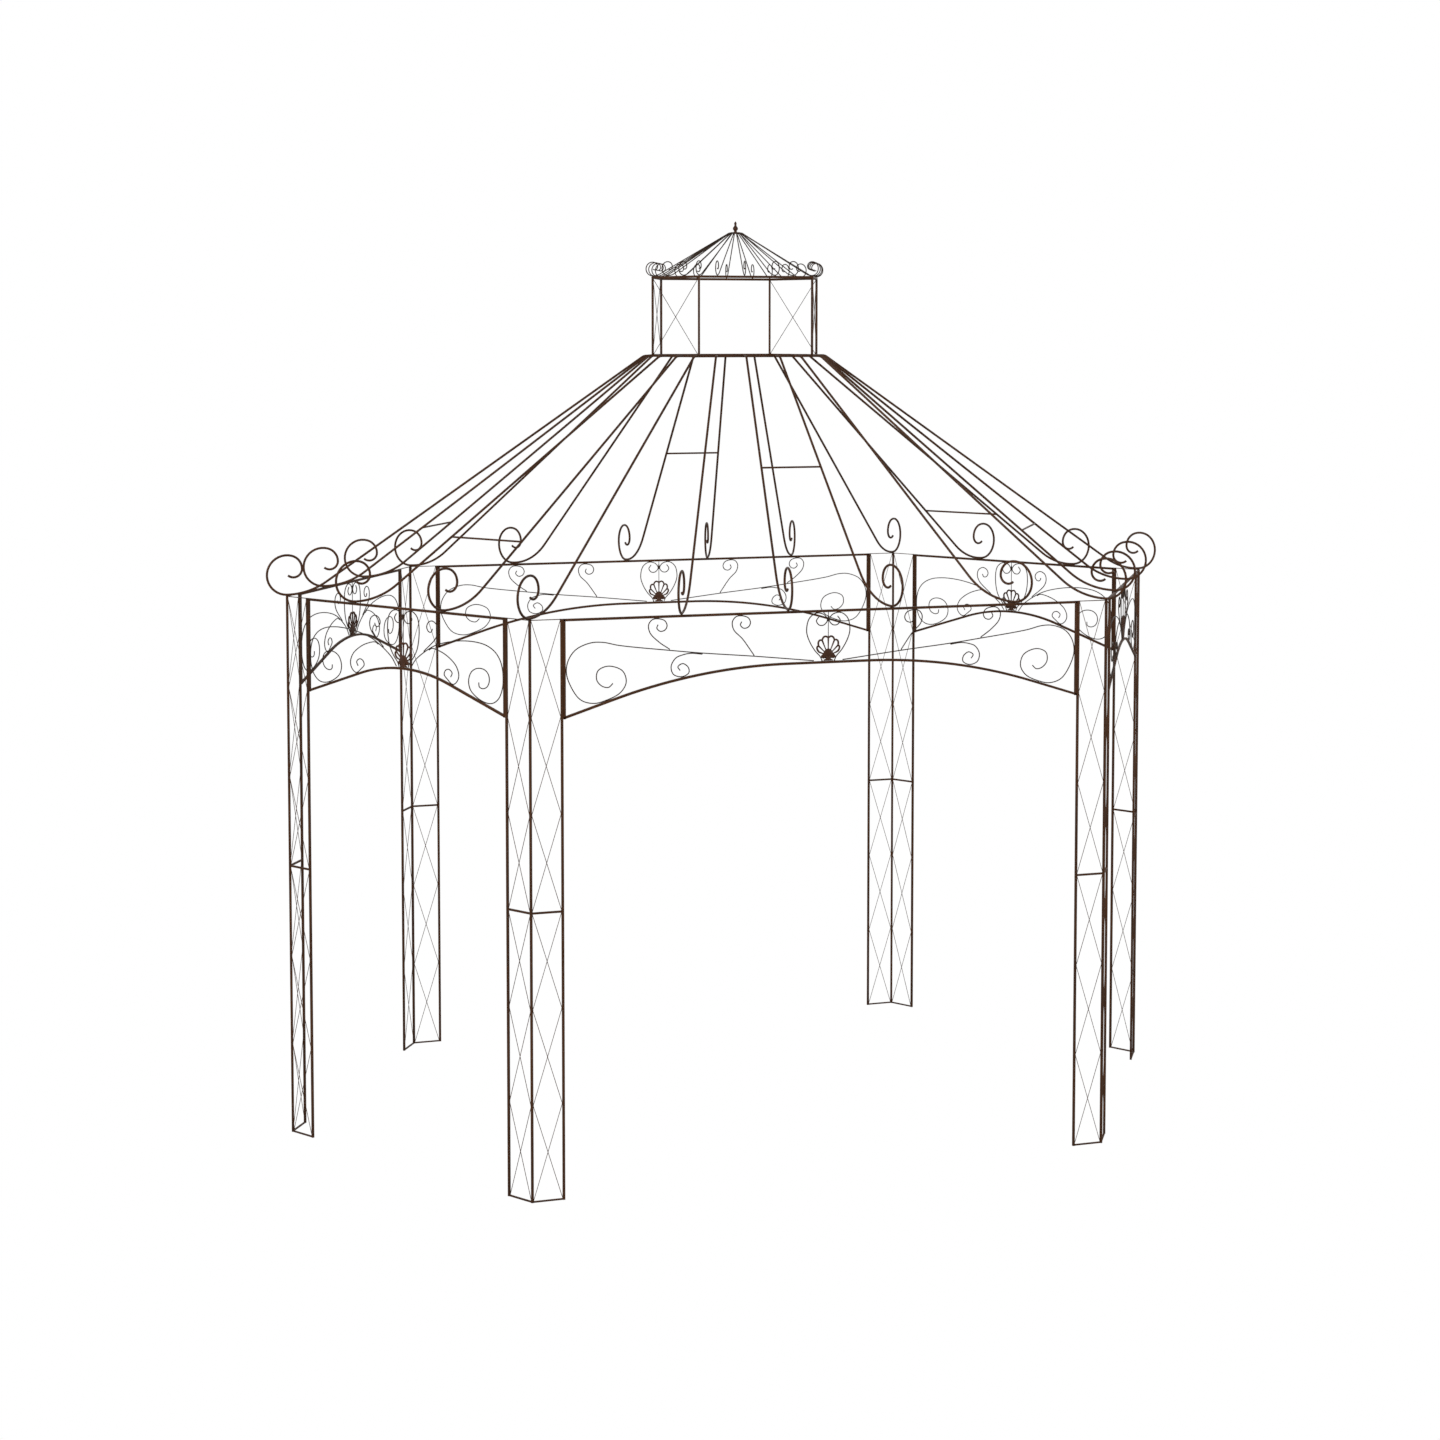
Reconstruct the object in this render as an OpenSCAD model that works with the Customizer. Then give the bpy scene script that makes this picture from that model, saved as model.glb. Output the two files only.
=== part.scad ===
// Wrought iron garden gazebo on an elongated six-sided plan.
// Six braced corner columns carry six arched friezes, an open roof of curled
// rods and a small cupola. Millimetres, +Z up, origin on the ground in the middle.

/* [Plan and height] */
// Half the length of the front and back sides, between corner tube centres
long_half = 1237; // [1030:1:1490]
// Distance from the middle to the front and back sides
depth_half = 1204; // [1000:1:1450]
// Distance from the middle to the left and right corner tubes
corner_reach = 2000; // [1660:1:2400]
// Height of the columns and of the eaves rails
column_h = 2313; // [1920:1:2780]

/* [Columns] */
// Width of the square tubes
tube = 10; // [8:0.5:14]
// Spacing of the tubes along each wing of a column
wing = 128; // [100:1:160]
// Height of the middle bar of a wing
mid_bar = 8; // [6:0.5:12]
// Height of the bar along the ground
foot_bar = 6; // [5:0.5:10]
// Height of the strip along the top of a wing
head_bar = 3; // [3:0.5:8]
// Thickness of the bars seen from above
bar_t = 8; // [6:0.5:10]
// Thickness of the crossed bracing wires
brace_wire = 2.6; // [2:0.1:4]
// Crosses in each half of a wing
crosses = 3; // [2:1:5]

/* [Friezes] */
// Width of the rails and arches
rail = 10; // [8:0.5:12]
// Depth of a frieze at its ends
frieze_drop = 395; // [350:1:470]
// Depth of the arch's middle below the eaves, long sides
long_apex = 213; // [190:1:245]
// Depth of the arch's middle below the eaves, short sides
short_apex = 250; // [220:1:300]
// Level length in the middle of the long arches
long_flat = 340; // [100:1:500]
// Slope of the straight arch ends, degrees
arch_slope = 17.6; // [15:0.1:21]
// Thickness of the scroll wire
scroll_wire = 4.4; // [3:0.1:6]
// Width of the shell ornament
shell_w = 90; // [75:1:105]
// Height of the shell ornament
shell_h = 103; // [86:1:108]
// Thickness of the shell ornament
shell_t = 8; // [6:0.5:12]

/* [Roof] */
// Diameter of the roof rods
rod = 10; // [8:0.5:12]
// Height of the middle of the cupola's base ring
ring_z = 3325; // [2900:1:3900]
// Radius of the flare where a rod comes down to the rail
flare_r = 300; // [150:1:400]
// Radius of the outer turn of the eaves curls
curl_r = 84; // [60:1:110]
// Length of the level end of a rod at the base ring
stub = 35; // [20:1:60]
// Thickness of the tie bars
tie = 8; // [6:0.5:10]
// Height of the tie bars on the long sides
long_tie_z = 2860; // [2700:1:2950]
// Height of the tie bars on the short sides
short_tie_z = 2570; // [2500:1:2700]

/* [Cupola] */
// Half the length of the cupola's front and back sides
cupola_long_half = 259; // [215:1:310]
// Distance from the middle to the cupola's front and back sides
cupola_depth_half = 286; // [240:1:340]
// Distance from the middle to the cupola's left and right corners
cupola_reach = 383; // [330:1:460]
// Height between the middles of the two cupola rings
cupola_h = 343; // [280:1:420]
// Rise of the cupola roof, from the upper ring to the apex plate
cupola_rise = 199; // [160:1:250]
// Diameter of the cupola's roof spokes
spoke = 4.6; // [4:0.1:5.5]
// Radius of the outer turn of the cupola curls
cupola_curl_r = 30; // [20:1:40]
// Radius of the apex plate
apex_r = 24; // [24:0.5:32]
// Height of the finial
finial_h = 48; // [35:1:70]

/* [Hidden] */

// Clearance left at every welded seat
seat = 0.3;
// Diameter of the stem above each shell
stem = 3;
iron = [0.30, 0.20, 0.14];
dark_iron = [0.22, 0.14, 0.10];

// Places of the roof rods along each side, as shares of its length, sides
// counted anticlockwise from the front
rod_places = [
    [0.25, 0.43, 0.61, 0.83], [0.25, 0.62], [0.25, 0.62],
    [0.22, 0.40, 0.57, 0.80], [0.41, 0.73], [0.30, 0.67]
];
// The same rods' places along the cupola's sides
long_ring_places = [0.16, 0.40, 0.67, 0.83];
short_ring_places = [1 / 3, 2 / 3];

function is_long(side) = side % 3 == 0;

// ---- Plan ----

function plan_corner(i, a, b, c) =
    [[-a, -b], [a, -b], [c, 0], [a, b], [-a, b], [-c, 0]][(i + 6) % 6];
function corner(i) = plan_corner(i, long_half, depth_half, corner_reach);
function ring_corner(i) =
    plan_corner(i, cupola_long_half, cupola_depth_half, cupola_reach);
function unit(v) = v / norm(v);
function heading(v) = atan2(v.y, v.x);
function side_len(i) = norm(corner(i + 1) - corner(i));
function inward(i) = let (d = unit(corner(i + 1) - corner(i))) [-d.y, d.x];
function ring_inward(i) =
    let (d = unit(ring_corner(i + 1) - ring_corner(i))) [-d.y, d.x];
function ring_places(i) = is_long(i) ? long_ring_places : short_ring_places;

// Puts its children on a side: X along it from its first corner, Y inward
module on_side(i) {
    p = corner(i);
    translate([p.x, p.y, 0])
        rotate([0, 0, heading(corner(i + 1) - p)])
            children();
}

// Draws a flat shape upright in the side's plane, thickness t about Y = 0
module upright(t) {
    translate([0, t / 2, 0])
        rotate([90, 0, 0])
            linear_extrude(t)
                children();
}

// ---- Columns ----

// One wing: its outer tube, three bars and the crossed wires, along +X
module column_wing() {
    half = column_h / 2;
    translate([wing, 0, half])
        cube([tube, tube, column_h], center = true);
    for (bar = [[foot_bar, foot_bar / 2], [mid_bar, half], [head_bar, column_h - head_bar / 2]])
        translate([wing / 2, 0, bar[1]])
            cube([wing, bar_t, bar[0]], center = true);
    inner = wing - tube / 2;
    for (start = [foot_bar, half + mid_bar / 2])
        let (height = (half - mid_bar / 2 - (start < half ? foot_bar : head_bar)) / crosses)
            for (k = [0 : crosses - 1])
                for (turn = [-1, 1])
                    translate([wing / 2, 0, start + (k + 0.5) * height])
                        rotate([0, turn * atan2(height, inner), 0])
                            cube([norm([height, inner]), brace_wire, brace_wire], center = true);
}

module column(i) {
    p = corner(i);
    ahead = heading(corner(i + 1) - p);
    behind = heading(corner(i - 1) - p);
    color(iron)
        translate([p.x, p.y, 0]) {
            rotate([0, 0, (ahead + heading(p - corner(i - 1))) / 2])
                translate([0, 0, column_h / 2])
                    cube([tube, tube, column_h], center = true);
            rotate([0, 0, ahead])
                column_wing();
            rotate([0, 0, behind])
                column_wing();
        }
}

// ---- Friezes ----

// Distance from a corner to the near and far faces of a frieze's end tube
end_tube_x = wing + tube / 2 + seat;
end_face_x = end_tube_x + tube;
end_fall = frieze_drop - rail / 2 / cos(arch_slope);
lift = rail / 2 + scroll_wire / 2 + 0.7;
// Rounded crests keep a little more room than flat seats
crest_seat = scroll_wire / 2 + 0.7;
rail_seat = -rail - crest_seat;

function apex(side) = is_long(side) ? long_apex : short_apex;
function arch_flat(side) = is_long(side) ? long_flat / 2 : 0;
function arch_span(side) = side_len(side) / 2 - end_tube_x - tube / 2;
function arch_r(side) =
    ((arch_span(side) - arch_flat(side)) * tan(arch_slope) - end_fall + apex(side))
    / (1 / cos(arch_slope) - 1);

// Height of the arch's middle line and its slope, v from the side's middle
function arch_z(side, v) =
    let (r = arch_r(side), u = v - arch_flat(side))
    u <= 0 ? -apex(side)
    : u < r * sin(arch_slope) ? -apex(side) - r + sqrt(r * r - u * u)
    : -end_fall + (arch_span(side) - v) * tan(arch_slope);
function arch_angle(side, v) =
    let (u = v - arch_flat(side))
    u <= 0 ? 0 : min(arch_slope, asin(min(1, u / arch_r(side))));
// A point raised off the arch's middle line
function over_arch(side, v, up) =
    let (s = arch_angle(side, v))
    [v + up * sin(s), arch_z(side, v) + up * cos(s)];

arch_steps = 10;
function arch_edge(side, up) =
    let (bow = arch_r(side) * sin(arch_slope))
    concat(
        [for (k = [0 : arch_steps]) over_arch(side, arch_flat(side) + bow * k / arch_steps, up)],
        [over_arch(side, arch_span(side), up)]
    );
function reversed(list) = [for (k = [len(list) - 1 : -1 : 0]) list[k]];
function flipped(list) = [for (p = reversed(list)) [-p.x, p.y]];

module frieze(side) {
    upper = arch_edge(side, rail / 2);
    lower = arch_edge(side, -rail / 2);
    length = side_len(side);
    color(iron)
        on_side(side) {
            for (x = [end_tube_x, length - end_face_x])
                translate([x, -tube / 2, column_h - frieze_drop])
                    cube([tube, tube, frieze_drop]);
            translate([end_face_x - tube / 2, -rail / 2, column_h - rail])
                cube([length - 2 * end_face_x + tube, rail, rail]);
            translate([length / 2, 0, column_h])
                upright(rail)
                    polygon(concat(flipped(upper), upper, reversed(lower), reversed(flipped(lower))));
        }
}

// ---- Scrollwork ----

// Smooth curve through knots: one point of the span from b to c
function chord(a, b) = pow(norm(b - a), 0.5);
function blend(a, b, ta, tb, t) = ((tb - t) * a + (t - ta) * b) / (tb - ta);
function span_point(a, b, c, d, u) =
    let (t1 = chord(a, b), t2 = t1 + chord(b, c), t3 = t2 + chord(c, d), t = t1 + (t2 - t1) * u)
    let (ab = blend(a, b, 0, t1, t), bc = blend(b, c, t1, t2, t), cd = blend(c, d, t2, t3, t))
    blend(blend(ab, bc, 0, t2, t), blend(bc, cd, t1, t3, t), t1, t2, t);
function smooth(knots, steps) =
    let (n = len(knots), k = concat([2 * knots[0] - knots[1]], knots, [2 * knots[n - 1] - knots[n - 2]]))
    concat(
        [for (i = [1 : n - 1], j = [0 : steps - 1])
            span_point(k[i - 1], k[i], k[i + 1], k[i + 2], j / steps)],
        [knots[n - 1]]
    );
function tangent(path, i) =
    unit(path[min(i + 1, len(path) - 1)] - path[max(i - 1, 0)]);
function beside(path, off) =
    [for (i = [0 : len(path) - 1]) let (t = tangent(path, i)) path[i] + off * [-t.y, t.x]];

module strand(knots, steps = 3) {
    path = smooth(knots, steps);
    upright(scroll_wire)
        polygon(concat(beside(path, scroll_wire / 2), reversed(beside(path, -scroll_wire / 2))));
}

// Inner face of the end tube, from the side's middle
function face(side) = side_len(side) / 2 - end_face_x;

// Sweep from the shell's foot over a hump and round the big end scroll. The
// scroll is placed from the end tube, the lead-in by shares of the half side.
function sweep(side) =
    let (f = face(side), touch = f - crest_seat)
    is_long(side)
    ? [
        over_arch(side, 62, lift), [0.29 * f, -177], [0.488 * f, -156], [0.612 * f, -140],
        [0.80 * f, -113], [f - 150, -98], [f - 100, -99], [f - 43, -122], [f - 13, -160], [touch, -204],
        [f - 13, -250], [f - 58, -320], [f - 112, -338], over_arch(side, f - 166, lift),
        [f - 222, -300], [f - 246, -260], [f - 232, -215], [f - 174, -193], [f - 131, -210],
        [f - 126, -246], [f - 147, -271], [f - 174, -277], [f - 192, -262]
    ]
    : [
        over_arch(side, 42, lift), [72, -207], [0.26 * f, -158], [0.346 * f, -137], [0.466 * f, -120],
        [f - 227, -110], [f - 156, -109], [f - 94, -118], [f - 47, -140], [f - 19, -171],
        [f - 6, -206], [touch, -242], [f - 6, -278], [f - 27, -323], [f - 64, -346],
        over_arch(side, f - 124, lift),
        [f - 183, -305], [f - 195, -269], [f - 183, -235], [f - 160, -218], [f - 131, -212],
        [f - 103, -217], [f - 84, -233], [f - 79, -258], [f - 91, -282], [f - 116, -292],
        [f - 135, -286], [f - 138, -269]
    ];

branch_off = scroll_wire + seat;
// Points of the sweep, and a start beside it for the scrolls welded to it
function branch(side, first, off) =
    let (path = smooth(sweep(side), 3))
    [for (i = [first, first + 1]) let (t = tangent(path, i)) path[i] + off * [-t.y, t.x]];

// Lower scroll, hanging from the sweep and resting on the arch
function lower_scroll(side) =
    let (f = face(side), m = is_long(side) ? 0.572 * f : 283)
    is_long(side)
    ? concat(branch(side, 6, -branch_off), [
        [m - 12, -160], [m + 18, -172], [m + 37, -204], [m + 28, -236], over_arch(side, m - 8, lift),
        [m - 36, -233], [m - 34, -211], [m - 11, -195], [m + 9, -207], [m, -222]
    ])
    : concat(branch(side, 6, -branch_off), [
        [226, -166], [270, -187], [304, -214], [319, -247], [312, -272], over_arch(side, m, lift),
        [252, -270], [236, -254], [243, -237], [263, -231], [281, -244], [273, -261]
    ]);

// Upper scrolls, rising from the sweep and curling under the rail
function upper_scroll(side, start, m) =
    concat([branch(side, start, branch_off)[0]], [
        [m - 2, -105], [m + 34, -68], [m + 40, -36], [m + 25, -16], [m, rail_seat],
        [m - 27, -22], [m - 36, -41], [m - 28, -58], [m - 8, -63], [m + 6, -50], [m + 1, -36]
    ]);
function short_upper_scroll(side) =
    concat([branch(side, 5, branch_off)[0]], [
        [188, -112], [200, -82], [193, -56], [168, -43], [145, -52], [137, -70], [147, -87], [163, -88], [170, -75]
    ]);

// Half of the heart that holds the shell
function heart(side) =
    let (a = -apex(side), stem_gap = (scroll_wire + stem) / 2 + seat)
    [
        over_arch(side, 27, lift), [35, a + 24], [57, a + 48], [82, a + 90], [93, -84], [82, -34],
        [52, rail_seat],
        [18, -20], [stem_gap, -42], [18, -61], [38, -62], [51, -45], [40, -27]
    ];

module scrolls(side) {
    f = face(side);
    color(dark_iron)
        on_side(side)
            translate([side_len(side) / 2, 0, column_h]) {
                for (half = [0, 1])
                    mirror([half, 0, 0]) {
                        strand(sweep(side));
                        strand(lower_scroll(side));
                        strand(heart(side));
                        if (is_long(side)) {
                            strand(upper_scroll(side, 3, 0.336 * f));
                            strand(upper_scroll(side, 9, 0.654 * f));
                        } else {
                            strand(short_upper_scroll(side));
                        }
                    }
                // Stem from the rail down to the shell's tip
                translate([0, 0, -apex(side) + rail / 2 + shell_h + 2 * seat])
                    cylinder(d = stem, h = apex(side) - 1.5 * rail - shell_h - 3 * seat, $fn = 24);
            }
}

// ---- Shell ornaments ----

ribs = 7;
rib_spread = 68;
foot_w = 0.5 * shell_w;
foot_h = 0.2 * shell_h;
function rib_reach(turn) =
    (shell_h - foot_h) * (1 - pow(abs(turn) / rib_spread, 2) * (1 - shell_w / 2 / sin(rib_spread) / (shell_h - foot_h)));
function rib_point(turn, reach) = [reach * sin(turn), foot_h + reach * cos(turn)];
function shell_outline() =
    let (pitch = 2 * rib_spread / (ribs - 1))
    concat(
        [[foot_w / 2, 0], [foot_w / 2.6, foot_h]],
        [for (k = [ribs - 1 : -1 : 0]) let (turn = -rib_spread + k * pitch)
            each [
                rib_point(turn + 0.28 * pitch, 0.94 * rib_reach(turn)),
                rib_point(turn, rib_reach(turn)),
                rib_point(turn - 0.28 * pitch, 0.94 * rib_reach(turn)),
                if (k > 0) rib_point(turn - 0.5 * pitch, 0.72 * rib_reach(turn - pitch / 2))
            ]],
        [[-foot_w / 2.6, foot_h], [-foot_w / 2, 0]]
    );

module shell(side) {
    color(iron)
        on_side(side)
            translate([side_len(side) / 2, 0, column_h - apex(side) + rail / 2 + seat])
                upright(shell_t)
                    polygon(shell_outline());
}

// ---- Roof rods ----

// Curl in a rod's own plane: three turns of falling radius, inner end first.
// s runs inward from the seat on the rail and z up from the rod's middle.
curl_turns = [[1, 195, 9], [0.69, 75, 3], [0.43, 130, 5]];
function arc_end(from, at, r, sweep_by) =
    let (c = at - r * [cos(from), sin(from)]) c + r * [cos(from - sweep_by), sin(from - sweep_by)];
function curl_points(r, turn = 0, at = [0, 0], from = -90) =
    turn == len(curl_turns) ? []
    : let (t = curl_turns[turn], c = at - r * t[0] * [cos(from), sin(from)])
    concat(
        [for (k = [1 : t[2]]) let (a = from - t[1] * k / t[2]) c + r * t[0] * [cos(a), sin(a)]],
        curl_points(r, turn + 1, arc_end(from, at, r * t[0], t[1]), from - t[1])
    );

// Slope of the straight stretch that leaves the flare and meets the level end
function rod_slope(reach, rise, flare) =
    let (k = rise - flare) asin(flare / norm([reach, k])) + atan2(k, reach);
flare_steps = 4;
function rod_profile(end_s, rise, flare, curl, level) =
    let (bend = end_s - level, slope = rod_slope(bend, rise, flare), ease = level / 3)
    concat(
        reversed(curl_points(curl)),
        [for (k = [0 : flare_steps]) let (a = slope * k / flare_steps) flare * [sin(a), 1 - cos(a)]],
        [
            [bend - ease * cos(slope), rise - ease * sin(slope)],
            [bend + ease, rise],
            [end_s, rise]
        ]
    );

// Round bar along a profile in the upright plane through from, facing along
module bar_in_plane(from, along, profile, d, sides) {
    last = len(profile) - 1;
    across = [-along.y, along.x, 0];
    points = [for (i = [0 : last]) let (
            t = tangent(profile, i),
            n = [-t.y * along.x, -t.y * along.y, t.x],
            p = [from.x + profile[i].x * along.x, from.y + profile[i].x * along.y, from.z + profile[i].y]
        ) for (k = [0 : sides - 1]) let (a = 360 * k / sides) p + d / 2 * (cos(a) * n + sin(a) * across)];
    faces = concat(
        [[for (k = [sides - 1 : -1 : 0]) k]],
        [for (i = [0 : last - 1], k = [0 : sides - 1]) let (
            a = i * sides + k,
            b = i * sides + (k + 1) % sides
        ) [a, b, b + sides, a + sides]],
        [[for (k = [0 : sides - 1]) last * sides + k]]
    );
    polyhedron(points, faces);
}

rod_rise = ring_z - column_h - seat - rod / 2;
// Where a rod sits on the eaves and the point of the base ring that it runs to
function rod_seat(side, k) = corner(side) + rod_places[side][k] * (corner(side + 1) - corner(side));
function rod_goal(side, k) =
    ring_corner(side) + ring_places(side)[k] * (ring_corner(side + 1) - ring_corner(side));
// How far a rod's square end stays from the ring's middle line
function ring_gap(along, face_in, d) =
    let (c = along * face_in) (tube / 2 + seat) / c + d / 2 * sqrt(1 - c * c) / c;
function rod_end(side, k) =
    let (run = rod_goal(side, k) - rod_seat(side, k))
    norm(run) - ring_gap(unit(run), ring_inward(side), rod);

module roof_rod(side, k) {
    from = rod_seat(side, k);
    along = unit(rod_goal(side, k) - from);
    bar_in_plane(
        [from.x, from.y, column_h + seat + rod / 2], along,
        rod_profile(rod_end(side, k), rod_rise, flare_r, curl_r, stub), rod, 6
    );
}

// A rod's middle line where it passes a height on its straight stretch
function rod_at(side, k, z) =
    let (
        from = rod_seat(side, k),
        along = unit(rod_goal(side, k) - from),
        bend = rod_end(side, k) - stub,
        s = bend - (ring_z - z) / tan(rod_slope(bend, rod_rise, flare_r))
    ) [from.x + s * along.x, from.y + s * along.y, z];
function rod_line(side, k) =
    let (along = unit(rod_goal(side, k) - rod_seat(side, k)))
    let (slope = rod_slope(rod_end(side, k) - stub, rod_rise, flare_r))
    [along.x * cos(slope), along.y * cos(slope), sin(slope)];

// Tie bar between two rods of a side
module tie_bar(side, k, z) {
    a = rod_at(side, k, z);
    b = rod_at(side, k + 1, z);
    t = unit(b - a);
    gaps = [for (j = [0, 1]) let (c = abs(rod_line(side, k + j) * t))
        (rod / 2 + seat + tie / 2 * c) / sqrt(1 - c * c)];
    translate(a)
        rotate([0, 90, heading(t)])
            translate([0, 0, gaps[0]])
                cylinder(d = tie, h = norm(b - a) - gaps[0] - gaps[1], $fn = 24);
}

module roof_rods(side) {
    color(iron) {
        for (k = [0 : len(rod_places[side]) - 1])
            roof_rod(side, k);
        if (is_long(side))
            tie_bar(side, 1, long_tie_z);
        else
            tie_bar(side, 0, short_tie_z);
    }
}

module hip_rod(i) {
    from = corner(i);
    run = ring_corner(i) - from;
    tip = ring_edge(tube / 2)[(i + 6) % 6];
    color(iron)
        bar_in_plane(
            [from.x, from.y, column_h + seat + rod / 2], unit(run),
            rod_profile((tip - from) * unit(run) - seat - hip_back(i), rod_rise, flare_r, curl_r, stub), rod, 6
        );
}
// Extra set-back of a hip rod whose line doesn't halve the ring's corner
function hip_back(i) =
    let (along = unit(ring_corner(i) - corner(i)))
    rod / 2 * max(0, abs(along * unit(ring_corner(i + 1) - ring_corner(i - 1))) - 0.05);

// ---- Cupola ----

top_ring_z = ring_z + cupola_h;
// Corners of the ring outline moved outward by d
function ring_edge(d) =
    [for (i = [0 : 5]) let (a = ring_inward(i - 1), b = ring_inward(i))
        ring_corner(i) - d * (a + b) / (1 + a * b)];

module cupola_ring(z) {
    color(iron)
        translate([0, 0, z - tube / 2])
            linear_extrude(tube)
                difference() {
                    polygon(ring_edge(tube / 2));
                    polygon(ring_edge(-tube / 2));
                }
}

post_h = cupola_h - tube;
// The posts stand a little inside the rings' faces
post_t = 0.9 * tube;
module cupola_posts() {
    color(iron)
        for (i = [0 : 5])
            translate([ring_corner(i).x, ring_corner(i).y, ring_z + cupola_h / 2])
                rotate([0, 0, heading(ring_corner(i + 1) - ring_corner(i - 1))])
                    cube([post_t, post_t, post_h], center = true);
}

// Room left for a post at each end of a crossed brace
post_clear = 0.8 * tube;
module cupola_braces() {
    color(dark_iron)
        for (side = [1, 2, 4, 5]) {
            run = ring_corner(side + 1) - ring_corner(side);
            mid = ring_corner(side) + run / 2;
            width = norm(run) - 2 * post_clear;
            translate([mid.x, mid.y, ring_z + cupola_h / 2])
                rotate([0, 0, heading(run)])
                    upright(brace_wire)
                        intersection() {
                            square([width, post_h - 2 * seat], center = true);
                            union() {
                                for (turn = [-1, 1])
                                    rotate(turn * atan2(post_h, width))
                                        square([2 * width, brace_wire], center = true);
                            }
                        }
        }
}

spoke_level = 7;
spoke_flare = 70;
module cupola_spoke(at) {
    bar_in_plane(
        [at.x, at.y, top_ring_z + tube / 2 + seat + spoke / 2], unit(-at),
        rod_profile(
            norm(at) - apex_r - seat, cupola_rise - tube / 2 - seat - spoke / 2,
            spoke_flare, cupola_curl_r, spoke_level
        ), spoke, 4
    );
}

module cupola_spokes() {
    color(dark_iron)
        for (side = [0 : 5]) {
            cupola_spoke(ring_corner(side));
            for (k = [0 : len(ring_places(side)) - 1])
                cupola_spoke(rod_goal(side, k));
        }
}

apex_z = top_ring_z + cupola_rise;
apex_t = 7;
module apex_plate() {
    color(iron)
        translate([0, 0, apex_z - apex_t / 2])
            cylinder(r = apex_r, h = apex_t, $fn = 48);
}

// Finial outline as shares of its height: a collar, a bulb and a pointed knob
finial_shape = [
    [0.13, 0], [0.15, 0.08], [0.22, 0.25], [0.235, 0.36], [0.17, 0.50],
    [0.09, 0.60], [0.11, 0.72], [0.12, 0.80], [0.07, 0.93], [0, 1]
];
module finial() {
    color(iron)
        translate([0, 0, apex_z + apex_t / 2])
            rotate_extrude($fn = 48)
                polygon(concat([[0, 0]], finial_h * finial_shape));
}

// ---- Drawing ----

column(0);  // column_front_left
column(1);  // column_front_right
column(2);  // column_right
column(3);  // column_back_right
column(4);  // column_back_left
column(5);  // column_left
frieze(0);  // frieze_front
frieze(1);  // frieze_right_front
frieze(2);  // frieze_right_back
frieze(3);  // frieze_back
frieze(4);  // frieze_left_back
frieze(5);  // frieze_left_front
scrolls(0);  // scrolls_front
scrolls(1);  // scrolls_right_front
scrolls(2);  // scrolls_right_back
scrolls(3);  // scrolls_back
scrolls(4);  // scrolls_left_back
scrolls(5);  // scrolls_left_front
shell(0);  // shell_front
shell(1);  // shell_right_front
shell(2);  // shell_right_back
shell(3);  // shell_back
shell(4);  // shell_left_back
shell(5);  // shell_left_front
hip_rod(0);  // hip_rod_front_left
hip_rod(1);  // hip_rod_front_right
hip_rod(2);  // hip_rod_right
hip_rod(3);  // hip_rod_back_right
hip_rod(4);  // hip_rod_back_left
hip_rod(5);  // hip_rod_left
roof_rods(0);  // roof_rods_front
roof_rods(1);  // roof_rods_right_front
roof_rods(2);  // roof_rods_right_back
roof_rods(3);  // roof_rods_back
roof_rods(4);  // roof_rods_left_back
roof_rods(5);  // roof_rods_left_front
cupola_ring(ring_z);  // cupola_base_ring
cupola_ring(top_ring_z);  // cupola_top_ring
cupola_posts();
cupola_braces();
cupola_spokes();
apex_plate();
finial();
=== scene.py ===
"""Wrought iron garden gazebo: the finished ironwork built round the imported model."""

import math

import bmesh
import bpy
from bpy.props import FloatProperty, FloatVectorProperty, IntProperty, PointerProperty
from mathutils import Matrix, Vector


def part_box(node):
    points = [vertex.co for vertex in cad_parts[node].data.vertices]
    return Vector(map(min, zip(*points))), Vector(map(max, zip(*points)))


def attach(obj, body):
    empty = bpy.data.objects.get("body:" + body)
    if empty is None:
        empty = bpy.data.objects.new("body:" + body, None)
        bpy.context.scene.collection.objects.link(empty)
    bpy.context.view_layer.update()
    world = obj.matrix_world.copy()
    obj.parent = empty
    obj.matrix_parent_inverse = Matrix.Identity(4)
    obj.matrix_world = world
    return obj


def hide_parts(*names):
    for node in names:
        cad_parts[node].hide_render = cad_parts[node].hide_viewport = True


bl_info = {
    "name": "Garden Gazebo Ironwork",
    "version": (1, 0, 0),
    "blender": (4, 5, 0),
    "location": "3D View > Sidebar > Gazebo",
    "description": "Builds the bars, scrolls, shells and cupola of an iron garden gazebo",
    "category": "Object",
}

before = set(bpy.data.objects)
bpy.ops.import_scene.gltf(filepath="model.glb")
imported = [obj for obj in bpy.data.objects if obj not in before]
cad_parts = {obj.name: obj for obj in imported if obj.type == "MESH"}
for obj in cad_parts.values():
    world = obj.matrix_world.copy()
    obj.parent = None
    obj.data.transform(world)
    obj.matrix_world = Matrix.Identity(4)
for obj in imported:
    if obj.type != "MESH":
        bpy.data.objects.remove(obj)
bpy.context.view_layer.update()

SIDES = ("front", "right_front", "right_back", "back", "left_back", "left_front")
CORNERS = ("front_left", "front_right", "right", "back_right", "back_left", "left")
MM = 0.001

# Places of the roof rods along each side, then along the cupola's sides
ROD_PLACES = (
    (0.25, 0.43, 0.61, 0.83),
    (0.25, 0.62),
    (0.25, 0.62),
    (0.22, 0.40, 0.57, 0.80),
    (0.41, 0.73),
    (0.30, 0.67),
)
LONG_RING_PLACES = (0.16, 0.40, 0.67, 0.83)
SHORT_RING_PLACES = (1 / 3, 2 / 3)


# ---- Settings ----


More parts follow.
